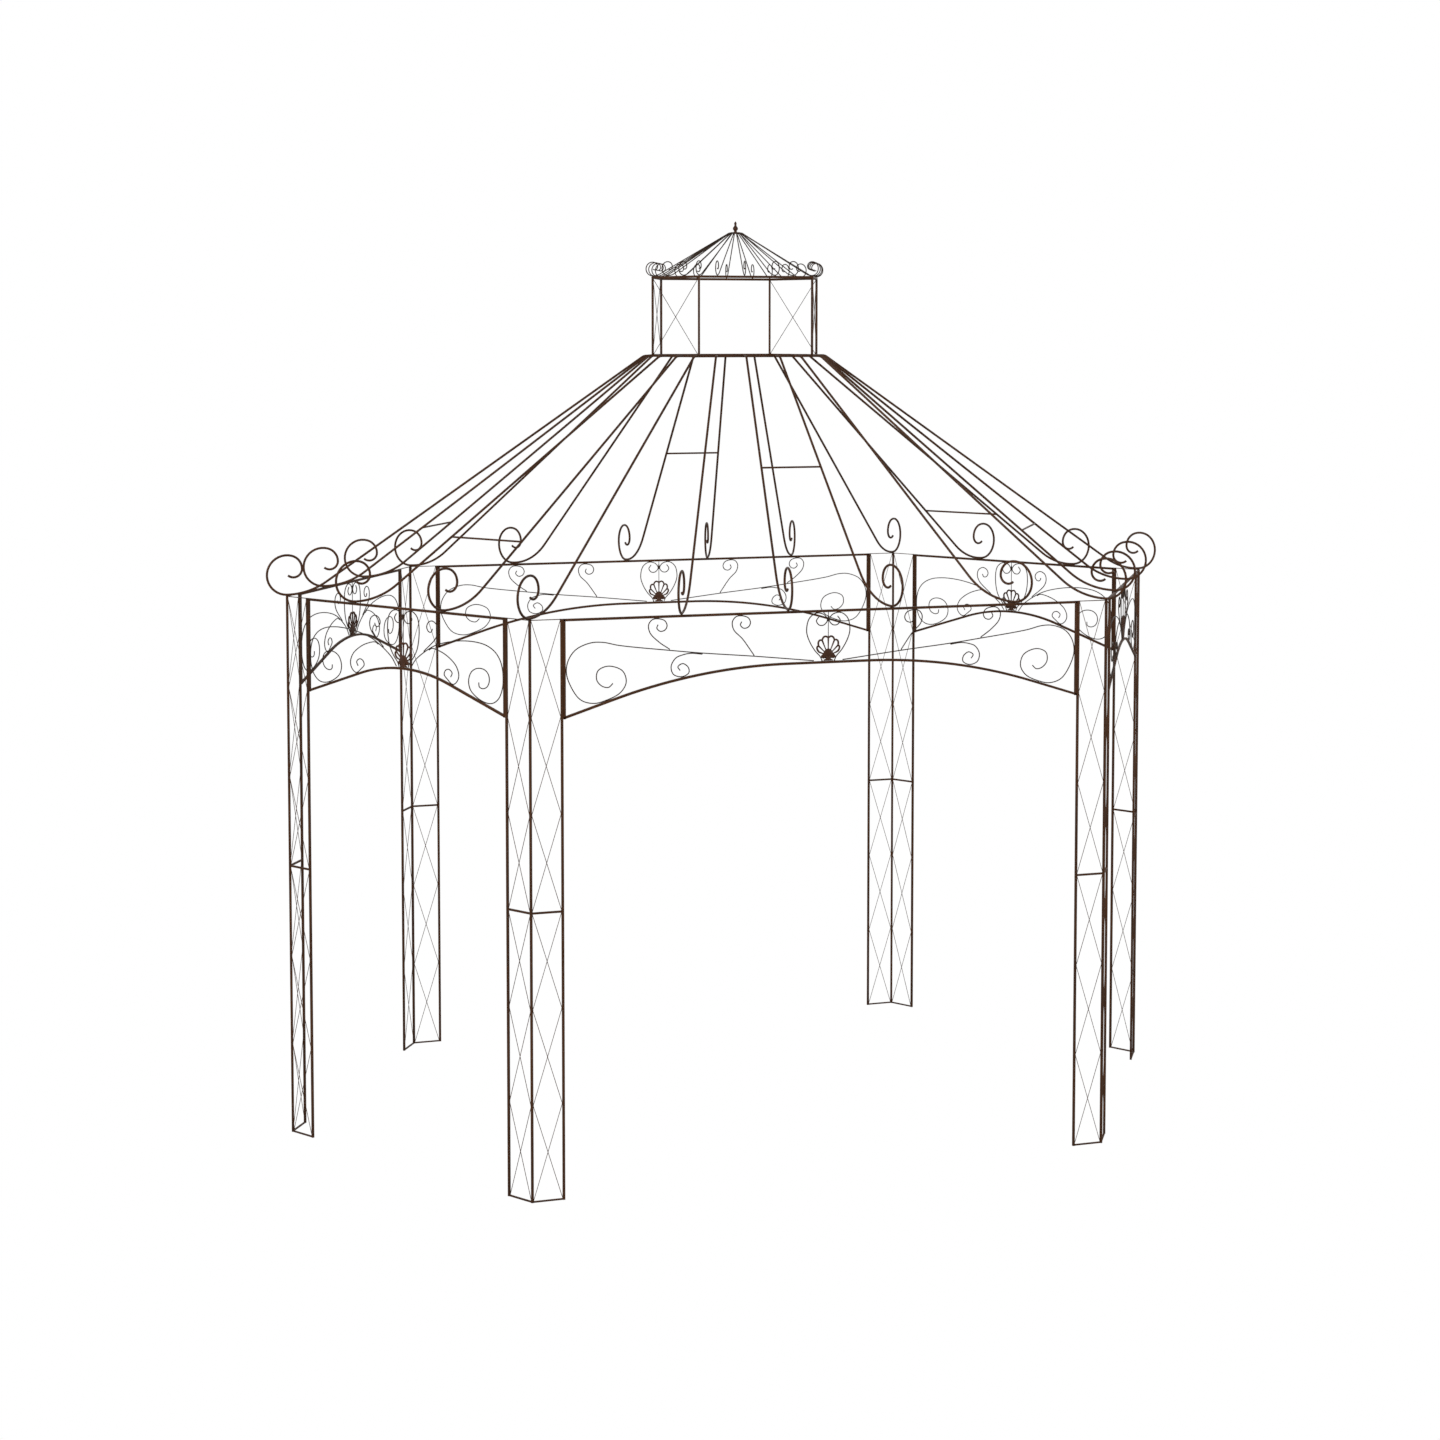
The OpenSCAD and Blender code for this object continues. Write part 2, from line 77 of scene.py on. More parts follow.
class GazeboSizes(bpy.types.PropertyGroup):
    tube: FloatProperty(
        name="Tube", description="Width of the square tubes", default=0.010, subtype="DISTANCE", unit="LENGTH"
    )
    edge: FloatProperty(
        name="Tube edge", description="Rounding along the tubes' edges", default=0.0014, subtype="DISTANCE", unit="LENGTH"
    )
    wing: FloatProperty(
        name="Wing", description="Spacing of the tubes along a column's wing", default=0.128, subtype="DISTANCE", unit="LENGTH"
    )
    rod: FloatProperty(
        name="Roof rod", description="Diameter of the roof rods", default=0.010, subtype="DISTANCE", unit="LENGTH"
    )
    tie: FloatProperty(
        name="Tie bar", description="Diameter of the tie bars", default=0.008, subtype="DISTANCE", unit="LENGTH"
    )
    scroll_wire: FloatProperty(
        name="Scroll wire", description="Diameter of the scroll wire", default=0.0044, subtype="DISTANCE", unit="LENGTH"
    )
    brace_wire: FloatProperty(
        name="Brace wire", description="Diameter of the crossed wires", default=0.0026, subtype="DISTANCE", unit="LENGTH"
    )
    spoke: FloatProperty(
        name="Cupola spoke", description="Diameter of the cupola's roof spokes", default=0.0046, subtype="DISTANCE", unit="LENGTH"
    )
    bead: FloatProperty(
        name="Weld bead", description="Radius of the weld beads", default=0.0042, subtype="DISTANCE", unit="LENGTH"
    )
    crosses: IntProperty(name="Crosses", description="Crosses in each half of a wing", default=3, min=1)
    ribs: IntProperty(name="Shell ribs", description="Ribs of each shell", default=7, min=3)


class GazeboFinish(bpy.types.PropertyGroup):
    iron: FloatVectorProperty(
        name="Iron", description="Paint of the tubes and rods", subtype="COLOR", size=3, default=(0.047, 0.0180, 0.0062)
    )
    wire: FloatVectorProperty(
        name="Wire", description="Paint of the thin wires", subtype="COLOR", size=3, default=(0.024, 0.0125, 0.0068)
    )
    ornament: FloatVectorProperty(
        name="Ornament", description="Paint of the shells and finial", subtype="COLOR", size=3, default=(0.045, 0.0180, 0.0090)
    )
    rub: FloatProperty(name="Rubbed paint", description="Share of the paint rubbed lighter", default=0.35, min=0, max=1)
    gloss: FloatProperty(name="Roughness", description="Middle roughness of the paint", default=0.46, min=0, max=1)


class GazeboStage(bpy.types.PropertyGroup):
    key: FloatProperty(name="Key light", description="Power of the main light", default=1150.0, unit="POWER")
    sky: FloatProperty(name="Surround", description="Strength of the soft surround", default=0.34)
    lens: FloatProperty(name="Lens", description="Focal length of the camera in millimetres", default=64.82)


def sizes():
    return bpy.context.scene.gazebo_sizes


# ---- Plan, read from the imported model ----


def hexagon(a, b, c):
    return [Vector(p) for p in ((-a, -b), (a, -b), (c, 0), (a, b), (-a, b), (-c, 0))]


def half_thick(node):
    lo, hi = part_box(node)
    return (hi.y - lo.y) / 2


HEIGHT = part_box("column_front_left")[1].z
TUBE = 0.010
SEAT = 0.0003
END_TUBE = 0.128 + TUBE / 2 + SEAT
PLAN = hexagon(
    END_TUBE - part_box("frieze_front")[0].x,
    -(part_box("frieze_front")[0].y + half_thick("frieze_front")),
    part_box("column_right")[1].x - TUBE / 2,
)
RING_Z = sum(p.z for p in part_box("cupola_base_ring")) / 2
TOP_RING_Z = sum(p.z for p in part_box("cupola_top_ring")) / 2
APEX_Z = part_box("apex_plate")[1].z
APEX_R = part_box("apex_plate")[1].x
POST = 0.009
RING = hexagon(
    0.259,
    -(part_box("cupola_base_ring")[0].y + TUBE / 2),
    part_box("cupola_posts")[1].x - POST / 2,
)


def is_long(side):
    return side % 3 == 0


def inward(points, side):
    d = (points[(side + 1) % 6] - points[side]).normalized()
    return Vector((-d.y, d.x))


def side_length(side):
    return (PLAN[(side + 1) % 6] - PLAN[side]).length


def on_side(side, v, z, y=0.0):
    """A point of a side: v along it from its middle, y inward, z from the ground, in metres."""
    a, b = PLAN[side], PLAN[(side + 1) % 6]
    p = (a + b) / 2 + v * (b - a).normalized() + y * inward(PLAN, side)
    return Vector((p.x, p.y, z))


# ---- Node trees ----


class Tree:
    """A geometry node tree with named inputs, built node by node."""

    def __init__(self, name, inputs):
        self.group = bpy.data.node_groups.new(name, "GeometryNodeTree")
        sockets = self.group.interface
        sockets.new_socket(name="Geometry", in_out="INPUT", socket_type="NodeSocketGeometry")
        for label, kind in inputs:
            sockets.new_socket(name=label, in_out="INPUT", socket_type="NodeSocket" + kind)
        sockets.new_socket(name="Finish", in_out="INPUT", socket_type="NodeSocketMaterial")
        sockets.new_socket(name="Geometry", in_out="OUTPUT", socket_type="NodeSocketGeometry")
        self.input = self.add("NodeGroupInput")

    def add(self, kind, settings=None, **inputs):
        node = self.group.nodes.new(kind)
        for key, value in (settings or {}).items():
            setattr(node, key, value)
        for key, value in inputs.items():
            socket = node.inputs[key.replace("_", " ")]
            if isinstance(value, bpy.types.NodeSocket):
                self.group.links.new(value, socket)
            else:
                socket.default_value = value
        return node

    def link(self, out, socket):
        self.group.links.new(out, socket)

    def close(self, geometry, smooth):
        shade = self.add("GeometryNodeSetShadeSmooth")
        shade.inputs["Shade Smooth"].default_value = smooth
        self.link(geometry, shade.inputs["Geometry"])
        real = self.add("GeometryNodeRealizeInstances", Geometry=shade.outputs[0])
        paint = self.add("GeometryNodeSetMaterial", Geometry=real.outputs[0], Material=self.input.outputs["Finish"])
        out = self.add("NodeGroupOutput")
        self.link(paint.outputs[0], out.inputs["Geometry"])
        return self.group


def round_bar_tree():
    t = Tree("Round bar along a path", [("Diameter", "Float"), ("Sides", "Int")])
    path = t.add("GeometryNodeMeshToCurve", Mesh=t.input.outputs["Geometry"])
    half = t.add("ShaderNodeMath", {"operation": "MULTIPLY"})
    t.link(t.input.outputs["Diameter"], half.inputs[0])
    half.inputs[1].default_value = 0.5
    ring = t.add("GeometryNodeCurvePrimitiveCircle", Resolution=t.input.outputs["Sides"], Radius=half.outputs[0])
    bar = t.add("GeometryNodeCurveToMesh", Curve=path.outputs[0], Profile_Curve=ring.outputs[0], Fill_Caps=True)
    return t.close(bar.outputs[0], True)


def square_bar_tree():
    t = Tree("Square bar along a path", [("Width", "Float"), ("Edge", "Float")])
    path = t.add("GeometryNodeMeshToCurve", Mesh=t.input.outputs["Geometry"])
    level = t.add("GeometryNodeSetCurveNormal", Curve=path.outputs[0])
    try:
        level.mode = "Z_UP"
    except AttributeError:
        level.inputs["Mode"].default_value = "Z Up"
    square = t.add("GeometryNodeCurvePrimitiveQuadrilateral", {"mode": "RECTANGLE"})
    t.link(t.input.outputs["Width"], square.inputs["Width"])
    t.link(t.input.outputs["Width"], square.inputs["Height"])
    soft = t.add("GeometryNodeFilletCurve", Curve=square.outputs[0], Radius=t.input.outputs["Edge"])
    try:
        soft.mode = "POLY"
    except AttributeError:
        soft.inputs["Mode"].default_value = "Poly"
    soft.inputs["Count"].default_value = 2
    bar = t.add("GeometryNodeCurveToMesh", Curve=level.outputs[0], Profile_Curve=soft.outputs[0], Fill_Caps=True)
    return t.close(bar.outputs[0], False)


def crossed_wire_tree():
    t = Tree("Crossed wires", [("Width", "Float"), ("Height", "Float"), ("Diameter", "Float")])
    halves = {}
    for label in ("Width", "Height", "Diameter"):
        halves[label] = t.add("ShaderNodeMath", {"operation": "MULTIPLY"})
        t.link(t.input.outputs[label], halves[label].inputs[0])
        halves[label].inputs[1].default_value = 0.5
    ring = t.add("GeometryNodeCurvePrimitiveCircle", Radius=halves["Diameter"].outputs[0])
    ring.inputs["Resolution"].default_value = 8
    join = t.add("GeometryNodeJoinGeometry")
    for turn in (-1, 1):
        ends = []
        for end in (-1, 1):
            at = t.add("ShaderNodeCombineXYZ")
            for axis, label, sign in (("X", "Width", end), ("Z", "Height", turn * end)):
                scaled = t.add("ShaderNodeMath", {"operation": "MULTIPLY"})
                t.link(halves[label].outputs[0], scaled.inputs[0])
                scaled.inputs[1].default_value = sign
                t.link(scaled.outputs[0], at.inputs[axis])
            side = t.add("ShaderNodeMath", {"operation": "MULTIPLY"})
            t.link(halves["Diameter"].outputs[0], side.inputs[0])
            side.inputs[1].default_value = 0.8 * turn
            t.link(side.outputs[0], at.inputs["Y"])
            ends.append(at)
        line = t.add("GeometryNodeCurvePrimitiveLine", Start=ends[0].outputs[0], End=ends[1].outputs[0])
        wire = t.add("GeometryNodeCurveToMesh", Curve=line.outputs[0], Profile_Curve=ring.outputs[0], Fill_Caps=True)
        t.link(wire.outputs[0], join.inputs[0])
    turn = t.add("GeometryNodeInputNamedAttribute", {"data_type": "FLOAT"}, Name="turn")
    spin = t.add("ShaderNodeCombineXYZ", Z=turn.outputs[0])
    place = t.add(
        "GeometryNodeInstanceOnPoints", Points=t.input.outputs["Geometry"], Instance=join.outputs[0], Rotation=spin.outputs[0]
    )
    return t.close(place.outputs[0], True)


def weld_tree():
    t = Tree("Weld beads", [("Radius", "Float"), ("Seed", "Int")])
    bead = t.add("GeometryNodeMeshIcoSphere", Radius=t.input.outputs["Radius"], Subdivisions=2)
    size = t.add("FunctionNodeRandomValue", {"data_type": "FLOAT"}, Seed=t.input.outputs["Seed"])
    size.inputs[2].default_value = 0.7
    size.inputs[3].default_value = 1.15
    spin = t.add("FunctionNodeRandomValue", {"data_type": "FLOAT_VECTOR"}, Seed=t.input.outputs["Seed"])
    spin.inputs[1].default_value = (6.28, 6.28, 6.28)
    place = t.add(
        "GeometryNodeInstanceOnPoints",
        Points=t.input.outputs["Geometry"],
        Instance=bead.outputs[0],
        Rotation=spin.outputs[0],
        Scale=size.outputs[1],
    )
    return t.close(place.outputs[0], True)


def fan_tree():
    t = Tree("Fan of shell ribs", [("Count", "Int"), ("Spread", "Float")])
    points = t.add("GeometryNodeMeshLine", Count=t.input.outputs["Count"], Offset=(0, 0, 0))
    index = t.add("GeometryNodeInputIndex")
    less = t.add("ShaderNodeMath", {"operation": "SUBTRACT"})
    t.link(t.input.outputs["Count"], less.inputs[0])
    less.inputs[1].default_value = 1
    share = t.add("ShaderNodeMath", {"operation": "DIVIDE"})
    t.link(index.outputs[0], share.inputs[0])
    t.link(less.outputs[0], share.inputs[1])
    middle = t.add("ShaderNodeMath", {"operation": "SUBTRACT"})
    t.link(share.outputs[0], middle.inputs[0])
    middle.inputs[1].default_value = 0.5
    turn = t.add("ShaderNodeMath", {"operation": "MULTIPLY"})
    t.link(middle.outputs[0], turn.inputs[0])
    t.link(t.input.outputs["Spread"], turn.inputs[1])
    spin = t.add("ShaderNodeCombineXYZ", Y=turn.outputs[0])
    # Ribs shorten towards the fan's sides: 1 - 1.64 * (share - 0.5)^2
    square = t.add("ShaderNodeMath", {"operation": "MULTIPLY"})
    t.link(middle.outputs[0], square.inputs[0])
    t.link(middle.outputs[0], square.inputs[1])
    fall = t.add("ShaderNodeMath", {"operation": "MULTIPLY_ADD"})
    t.link(square.outputs[0], fall.inputs[0])
    fall.inputs[1].default_value = -1.64
    fall.inputs[2].default_value = 1.0
    size = t.add("ShaderNodeCombineXYZ", X=1.0, Y=1.0, Z=fall.outputs[0])
    place = t.add(
        "GeometryNodeInstanceOnPoints",
        Points=points.outputs[0],
        Instance=t.input.outputs["Geometry"],
        Rotation=spin.outputs[0],
        Scale=size.outputs[0],
    )
    return t.close(place.outputs[0], True)


def tree(builder):
    if builder.__name__ not in TREES:
        TREES[builder.__name__] = builder()
    return TREES[builder.__name__]


TREES = {}


def grown(mesh, group, paint, **values):
    """The plain mesh that a node tree makes of a mesh."""
    scratch = bpy.data.objects.new("scratch", mesh)
    bpy.context.scene.collection.objects.link(scratch)
    shape = scratch.modifiers.new("Shape", "NODES")
    shape.node_group = group
    values["Finish"] = paint
    for socket in group.interface.items_tree:
        if socket.in_out == "INPUT" and socket.name in values:
            shape[socket.identifier] = values[socket.name]
    graph = bpy.context.evaluated_depsgraph_get()
    made = bpy.data.meshes.new_from_object(scratch.evaluated_get(graph), depsgraph=graph)
    bpy.data.objects.remove(scratch)
    if not made.polygons:
        raise RuntimeError(f"{group.name} made no faces")
    return made


def path_mesh(paths):
    """Open paths as a mesh of edges."""
    points, edges = [], []
    for path in paths:
        edges += [(len(points) + k, len(points) + k + 1) for k in range(len(path) - 1)]
        points += [tuple(p) for p in path]
    mesh = bpy.data.meshes.new("path")
    mesh.from_pydata(points, edges, [])
    return mesh


def point_mesh(points, turns=None):
    mesh = bpy.data.meshes.new("points")
    mesh.from_pydata([tuple(p) for p in points], [], [])
    if turns:
        mesh.attributes.new("turn", "FLOAT", "POINT").data.foreach_set("value", turns)
    return mesh


def round_bars(paths, diameter, paint, sides=10):
    return grown(path_mesh(paths), tree(round_bar_tree), paint, Diameter=diameter, Sides=sides)


def square_bars(paths, width, paint):
    return grown(path_mesh(paths), tree(square_bar_tree), paint, Width=width, Edge=sizes().edge)


def chamfered_bar(bm, start, end, size, across, edge):
    """A closed bar between two points, size wide along across and size tall the other way."""
    along = (end - start).normalized()
    u = across.normalized()
    w = along.cross(u)
    a, b = size[0] / 2, size[1] / 2
    e = min(edge, a * 0.6, b * 0.6)
    outline = [(a - e, -b), (a, -b + e), (a, b - e), (a - e, b), (-a + e, b), (-a, b - e), (-a, -b + e), (-a + e, -b)]
    rings = [[bm.verts.new(p + x * u + y * w) for x, y in outline] for p in (start, end)]
    n = len(outline)
    for k in range(n):
        bm.faces.new((rings[0][k], rings[0][(k + 1) % n], rings[1][(k + 1) % n], rings[1][k]))
    bm.faces.new(reversed(rings[0]))
    bm.faces.new(rings[1])


def lathe(bm, profile, sides=40):
    """A closed turned shape about Z from (radius, height) points whose ends are on the axis."""
    rings = []
    for r, z in profile:
        if r < 1e-7:
            rings.append([bm.verts.new((0, 0, z))])
        else:
            rings.append(
                [bm.verts.new((r * math.cos(2 * math.pi * k / sides), r * math.sin(2 * math.pi * k / sides), z)) for k in range(sides)]
            )
    for low, high in zip(rings[:-1], rings[1:]):
        for k in range(sides):
            j = (k + 1) % sides
            if len(low) == 1:
                bm.faces.new((low[0], high[j], high[k]))
            elif len(high) == 1:
                bm.faces.new((low[k], low[j], high[0]))
            else:
                bm.faces.new((low[k], low[j], high[j], high[k]))


def bar_mesh(build, paint):
    bm = bmesh.new()
    build(bm)
    mesh = bpy.data.meshes.new("bars")
    bm.to_mesh(mesh)
    bm.free()
    mesh.materials.append(paint)
    return mesh


def piece(name, meshes, paint, slot, *nodes):
    """Joins meshes into one piece that rides on the body and stands for the nodes."""
    bm = bmesh.new()
    for mesh in meshes:
        bm.from_mesh(mesh)
    bmesh.ops.recalc_face_normals(bm, faces=bm.faces)
    for face in bm.faces:
        face.material_index = 0
    whole = bpy.data.meshes.new(name)
    bm.to_mesh(whole)
    bm.free()
    for extra in [a.name for a in whole.attributes if a.name in ("turn",)]:
        whole.attributes.remove(whole.attributes[extra])
    whole.materials.clear()
    whole.materials.append(paint)
    made = bpy.data.objects.new(name, whole)
    bpy.context.scene.collection.objects.link(made)
    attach(made, "root")
    if nodes:
        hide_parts(*nodes)
    return made


# ---- Finishes ----


def painted(name, colour, grain, wear):
    """Antique painted iron: cloudy colour, rubbed lighter patches, rust freckles and a hammered skin."""
    material = bpy.data.materials.get(name)
    if material:
        return material
    material = bpy.data.materials.new(name)
    material.use_nodes = True
    nodes, links = material.node_tree.nodes, material.node_tree.links
    nodes.clear()
    out = nodes.new("ShaderNodeOutputMaterial")
    skin = nodes.new("ShaderNodeBsdfPrincipled")
    links.new(skin.outputs[0], out.inputs[0])
    place = nodes.new("ShaderNodeTexCoord")

    def noise(scale, detail, rough=0.6):
        node = nodes.new("ShaderNodeTexNoise")
        links.new(place.outputs["Object"], node.inputs["Vector"])
        node.inputs["Scale"].default_value = scale
        node.inputs["Detail"].default_value = detail
        node.inputs["Roughness"].default_value = rough
        return node.outputs[0]

    def spread(value, low, high, to_low, to_high):
        node = nodes.new("ShaderNodeMapRange")
        links.new(value, node.inputs["Value"])
        for key, number in (("From Min", low), ("From Max", high), ("To Min", to_low), ("To Max", to_high)):
            node.inputs[key].default_value = number
        return node.outputs[0]

    def blend(share, first, second):
        node = nodes.new("ShaderNodeMix")
        node.data_type = "RGBA"
        links.new(share, node.inputs[0])
        for socket, value in ((node.inputs[6], first), (node.inputs[7], second)):
            if isinstance(value, bpy.types.NodeSocket):
                links.new(value, socket)
            else:
                socket.default_value = (*value, 1)
        return node.outputs[2]

    deep = tuple(c * 0.62 for c in colour)
    light = tuple(min(1, c * m) for c, m in zip(colour, (1.9, 1.75, 1.6)))
    rust = (colour[0] * 2.1, colour[1] * 1.5, colour[2] * 0.9)
    cloud = blend(spread(noise(2.6, 4), 0.35, 0.65, 0, 1), deep, colour)
    rubbed = blend(spread(noise(38, 5), 0.52, 0.72, 0, wear), cloud, light)
    freckled = blend(spread(noise(170, 3), 0.63, 0.72, 0, 0.7), rubbed, rust)
    links.new(freckled, skin.inputs["Base Color"])
    gloss = bpy.context.scene.gazebo_finish.gloss
    links.new(spread(noise(24, 4), 0.3, 0.7, gloss - 0.12, gloss + 0.14), skin.inputs["Roughness"])
    skin.inputs["Metallic"].default_value = 0.15
    skin.inputs["Specular IOR Level"].default_value = 0.14
    hammer = nodes.new("ShaderNodeTexVoronoi")
    links.new(place.outputs["Object"], hammer.inputs["Vector"])
    hammer.inputs["Scale"].default_value = grain
    dents = nodes.new("ShaderNodeBump")
    dents.inputs["Strength"].default_value = 0.25
    dents.inputs["Distance"].default_value = 0.0006
    links.new(hammer.outputs["Distance"], dents.inputs["Height"])
    fine = nodes.new("ShaderNodeBump")
    fine.inputs["Strength"].default_value = 0.3
    fine.inputs["Distance"].default_value = 0.0003
    links.new(noise(600, 3), fine.inputs["Height"])
    links.new(dents.outputs[0], fine.inputs["Normal"])
    links.new(fine.outputs[0], skin.inputs["Normal"])
    return material


def finish():
    return bpy.context.scene.gazebo_finish


def iron():
    return painted("antique_brown_iron", tuple(finish().iron), 210, finish().rub)


def wire():
    return painted("dark_drawn_wire", tuple(finish().wire), 380, finish().rub * 0.8)


def ornament():
    return painted("cast_ornament_iron", tuple(finish().ornament), 300, finish().rub * 1.3)


def weld():
    return painted("painted_weld", tuple(finish().wire), 500, finish().rub)


# ---- Columns ----


def wing_points(corner, step):
    s = sizes()
    start, goal = PLAN[corner], PLAN[(corner + step) % 6]
    return start, (goal - start).normalized(), s.wing


def column_piece(corner):
    s = sizes()
    foot, head, middle = 0.006, 0.003, 0.008
    half = HEIGHT / 2
    at = PLAN[corner]
    ahead = (PLAN[(corner + 1) % 6] - at).normalized()
    behind = (at - PLAN[corner - 1]).normalized()
    face = (ahead + behind).normalized()
    welds, crosses, turns = [], [], []

    def build(bm):
        chord = Vector((face.x, face.y, 0))
        chamfered_bar(bm, Vector((at.x, at.y, 0)), Vector((at.x, at.y, HEIGHT)), (s.tube, s.tube), chord, s.edge)
        for step in (1, -1):
            start, d, wing = wing_points(corner, step)
            along = Vector((d.x, d.y, 0))
            out = start + wing * d
            chamfered_bar(bm, Vector((*out, 0)), Vector((*out, HEIGHT)), (s.tube, s.tube), along, s.edge)
            for height, z in ((foot, foot / 2), (middle, half), (head, HEIGHT - head / 2)):
                a, b = Vector((*start, z)), Vector((*out, z))
                chamfered_bar(bm, a, b, (height, 0.008), Vector((0, 0, 1)), s.edge * 0.6)
                for end, sign in ((a, 1), (b, -1)):
                    welds.append(end + sign * along * s.tube * 0.55)
            inner = wing - s.tube / 2
            for low, high in ((foot, half - middle / 2), (half + middle / 2, HEIGHT - head)):
                cell = (high - low) / s.crosses
                for k in range(s.crosses):
                    mid = start + d * wing / 2
                    crosses.append((mid.x, mid.y, low + (k + 0.5) * cell))
                    turns.append(math.atan2(d.y, d.x))
                    for z in (low + k * cell, low + (k + 1) * cell):
                        for off in (s.tube / 2, wing - s.tube / 2):
                            p = start + d * off
                            welds.append(Vector((p.x, p.y, min(max(z, 0.004), HEIGHT - 0.005))))

    bars = bar_mesh(build, iron())
    cell = (half - middle / 2 - (foot + head) / 2) / s.crosses
    wires = grown(
        point_mesh(crosses, turns),
        tree(crossed_wire_tree),
        iron(),
        Width=s.wing - s.tube,
        Height=cell - 0.0015,
        Diameter=s.brace_wire,
    )
    node = "column_" + CORNERS[corner]
    piece("ironwork_" + node, [bars, wires], iron(), "frame_iron", node)
    return welds


# ---- Friezes and their scrolls, drawn in millimetres from a side's middle and the eaves ----

RAIL = 10
SLOPE = math.radians(17.6)
DROP = 395
WIRE = 4.4
LIFT = RAIL / 2 + WIRE / 2 + 0.7
CREST = WIRE / 2 + 0.7
END = 128 + 5 + 0.3


def apex(side):
    return 213 if is_long(side) else 250


def arch_flat(side):
    return 170 if is_long(side) else 0


def arch_span(side):
    return side_length(side) / MM / 2 - END - 5


def arch_radius(side):
    end_fall = DROP - RAIL / 2 / math.cos(SLOPE)
    rise = (arch_span(side) - arch_flat(side)) * math.tan(SLOPE) - end_fall + apex(side)
    return rise / (1 / math.cos(SLOPE) - 1)


def arch_angle(side, v):
    return min(SLOPE, math.asin(min(1, max(0, v - arch_flat(side)) / arch_radius(side))))


def arch_z(side, v):
    r, u = arch_radius(side), v - arch_flat(side)
    if u <= 0:
        return -apex(side)
    if u < r * math.sin(SLOPE):
        return -apex(side) - r + math.sqrt(r * r - u * u)
    return -(DROP - RAIL / 2 / math.cos(SLOPE)) + (arch_span(side) - v) * math.tan(SLOPE)


def over_arch(side, v, up):
    a = arch_angle(side, v)
    return (v + up * math.sin(a), arch_z(side, v) + up * math.cos(a))


def smooth(knots, steps=8):
    """Centripetal curve through knots."""
    k = [Vector(p) for p in knots]
    k = [2 * k[0] - k[1]] + k + [2 * k[-1] - k[-2]]
    path = []
    for a, b, c, d in zip(k[:-3], k[1:-2], k[2:-1], k[3:]):
        t1 = (b - a).length ** 0.5
        t2 = t1 + (c - b).length ** 0.5
        t3 = t2 + (d - c).length ** 0.5

        def mix(p, q, tp, tq, t):
            return ((tq - t) * p + (t - tp) * q) / (tq - tp)

        for j in range(steps):
            t = t1 + (t2 - t1) * j / steps
            ab, bc, cd = mix(a, b, 0, t1, t), mix(b, c, t1, t2, t), mix(c, d, t2, t3, t)
            path.append(mix(mix(ab, bc, 0, t2, t), mix(bc, cd, t1, t3, t), t1, t2, t))
    return path + [k[-2]]


def end_face(side):
    return side_length(side) / MM / 2 - END - 10


def sweep(side):
    f = end_face(side)
    touch = f - CREST
    if is_long(side):
        return [
            over_arch(side, 62, LIFT), (0.29 * f, -177), (0.488 * f, -156), (0.612 * f, -140),
            (0.80 * f, -113), (f - 150, -98), (f - 100, -99), (f - 43, -122), (f - 13, -160), (touch, -204),
            (f - 13, -250), (f - 58, -320), (f - 112, -338), over_arch(side, f - 166, LIFT),
            (f - 222, -300), (f - 246, -260), (f - 232, -215), (f - 174, -193), (f - 131, -210),
            (f - 126, -246), (f - 147, -271), (f - 174, -277), (f - 192, -262),
        ]
    return [
        over_arch(side, 42, LIFT), (72, -207), (0.26 * f, -158), (0.346 * f, -137), (0.466 * f, -120),
        (f - 227, -110), (f - 156, -109), (f - 94, -118), (f - 47, -140), (f - 19, -171),
        (f - 6, -206), (touch, -242), (f - 6, -278), (f - 27, -323), (f - 64, -346),
        over_arch(side, f - 124, LIFT),
        (f - 183, -305), (f - 195, -269), (f - 183, -235), (f - 160, -218), (f - 131, -212),
        (f - 103, -217), (f - 84, -233), (f - 79, -258), (f - 91, -282), (f - 116, -292),
        (f - 135, -286), (f - 138, -269),
    ]


def branch(side, first, off):
    """Two points beside the sweep, where a smaller scroll leaves it."""
    path = smooth(sweep(side), 3)
    points = []
    for i in (first, first + 1):
        t = (path[i + 1] - path[i - 1]).normalized()
        points.append(tuple(path[i] + off * Vector((-t.y, t.x))))
    return points


def lower_scroll(side):
    f = end_face(side)
    start = branch(side, 6, -WIRE - 0.1)
    if is_long(side):
        m = 0.572 * f
        return start + [
            (m - 12, -160), (m + 18, -172), (m + 37, -204), (m + 28, -236), over_arch(side, m - 8, LIFT),
            (m - 36, -233), (m - 34, -211), (m - 11, -195), (m + 9, -207), (m, -222),
        ]
    return start + [
        (226, -166), (270, -187), (304, -214), (319, -247), (312, -272), over_arch(side, 283, LIFT),
        (252, -270), (236, -254), (243, -237), (263, -231), (281, -244), (273, -261),
    ]


def upper_scroll(side, start, m):
    return branch(side, start, WIRE + 0.1)[:1] + [
        (m - 2, -105), (m + 34, -68), (m + 40, -36), (m + 25, -16), (m, -RAIL - CREST),
        (m - 27, -22), (m - 36, -41), (m - 28, -58), (m - 8, -63), (m + 6, -50), (m + 1, -36),
    ]


def short_upper_scroll(side):
    return branch(side, 5, WIRE + 0.1)[:1] + [
        (188, -112), (200, -82), (193, -56), (168, -43), (145, -52), (137, -70), (147, -87), (163, -88), (170, -75),
    ]


def heart(side):
    a = -apex(side)
    return [
        over_arch(side, 27, LIFT), (35, a + 24), (57, a + 48), (82, a + 90), (93, -84), (82, -34),
        (52, -RAIL - CREST), (18, -20), (4, -42), (18, -61), (38, -62), (51, -45), (40, -27),
    ]


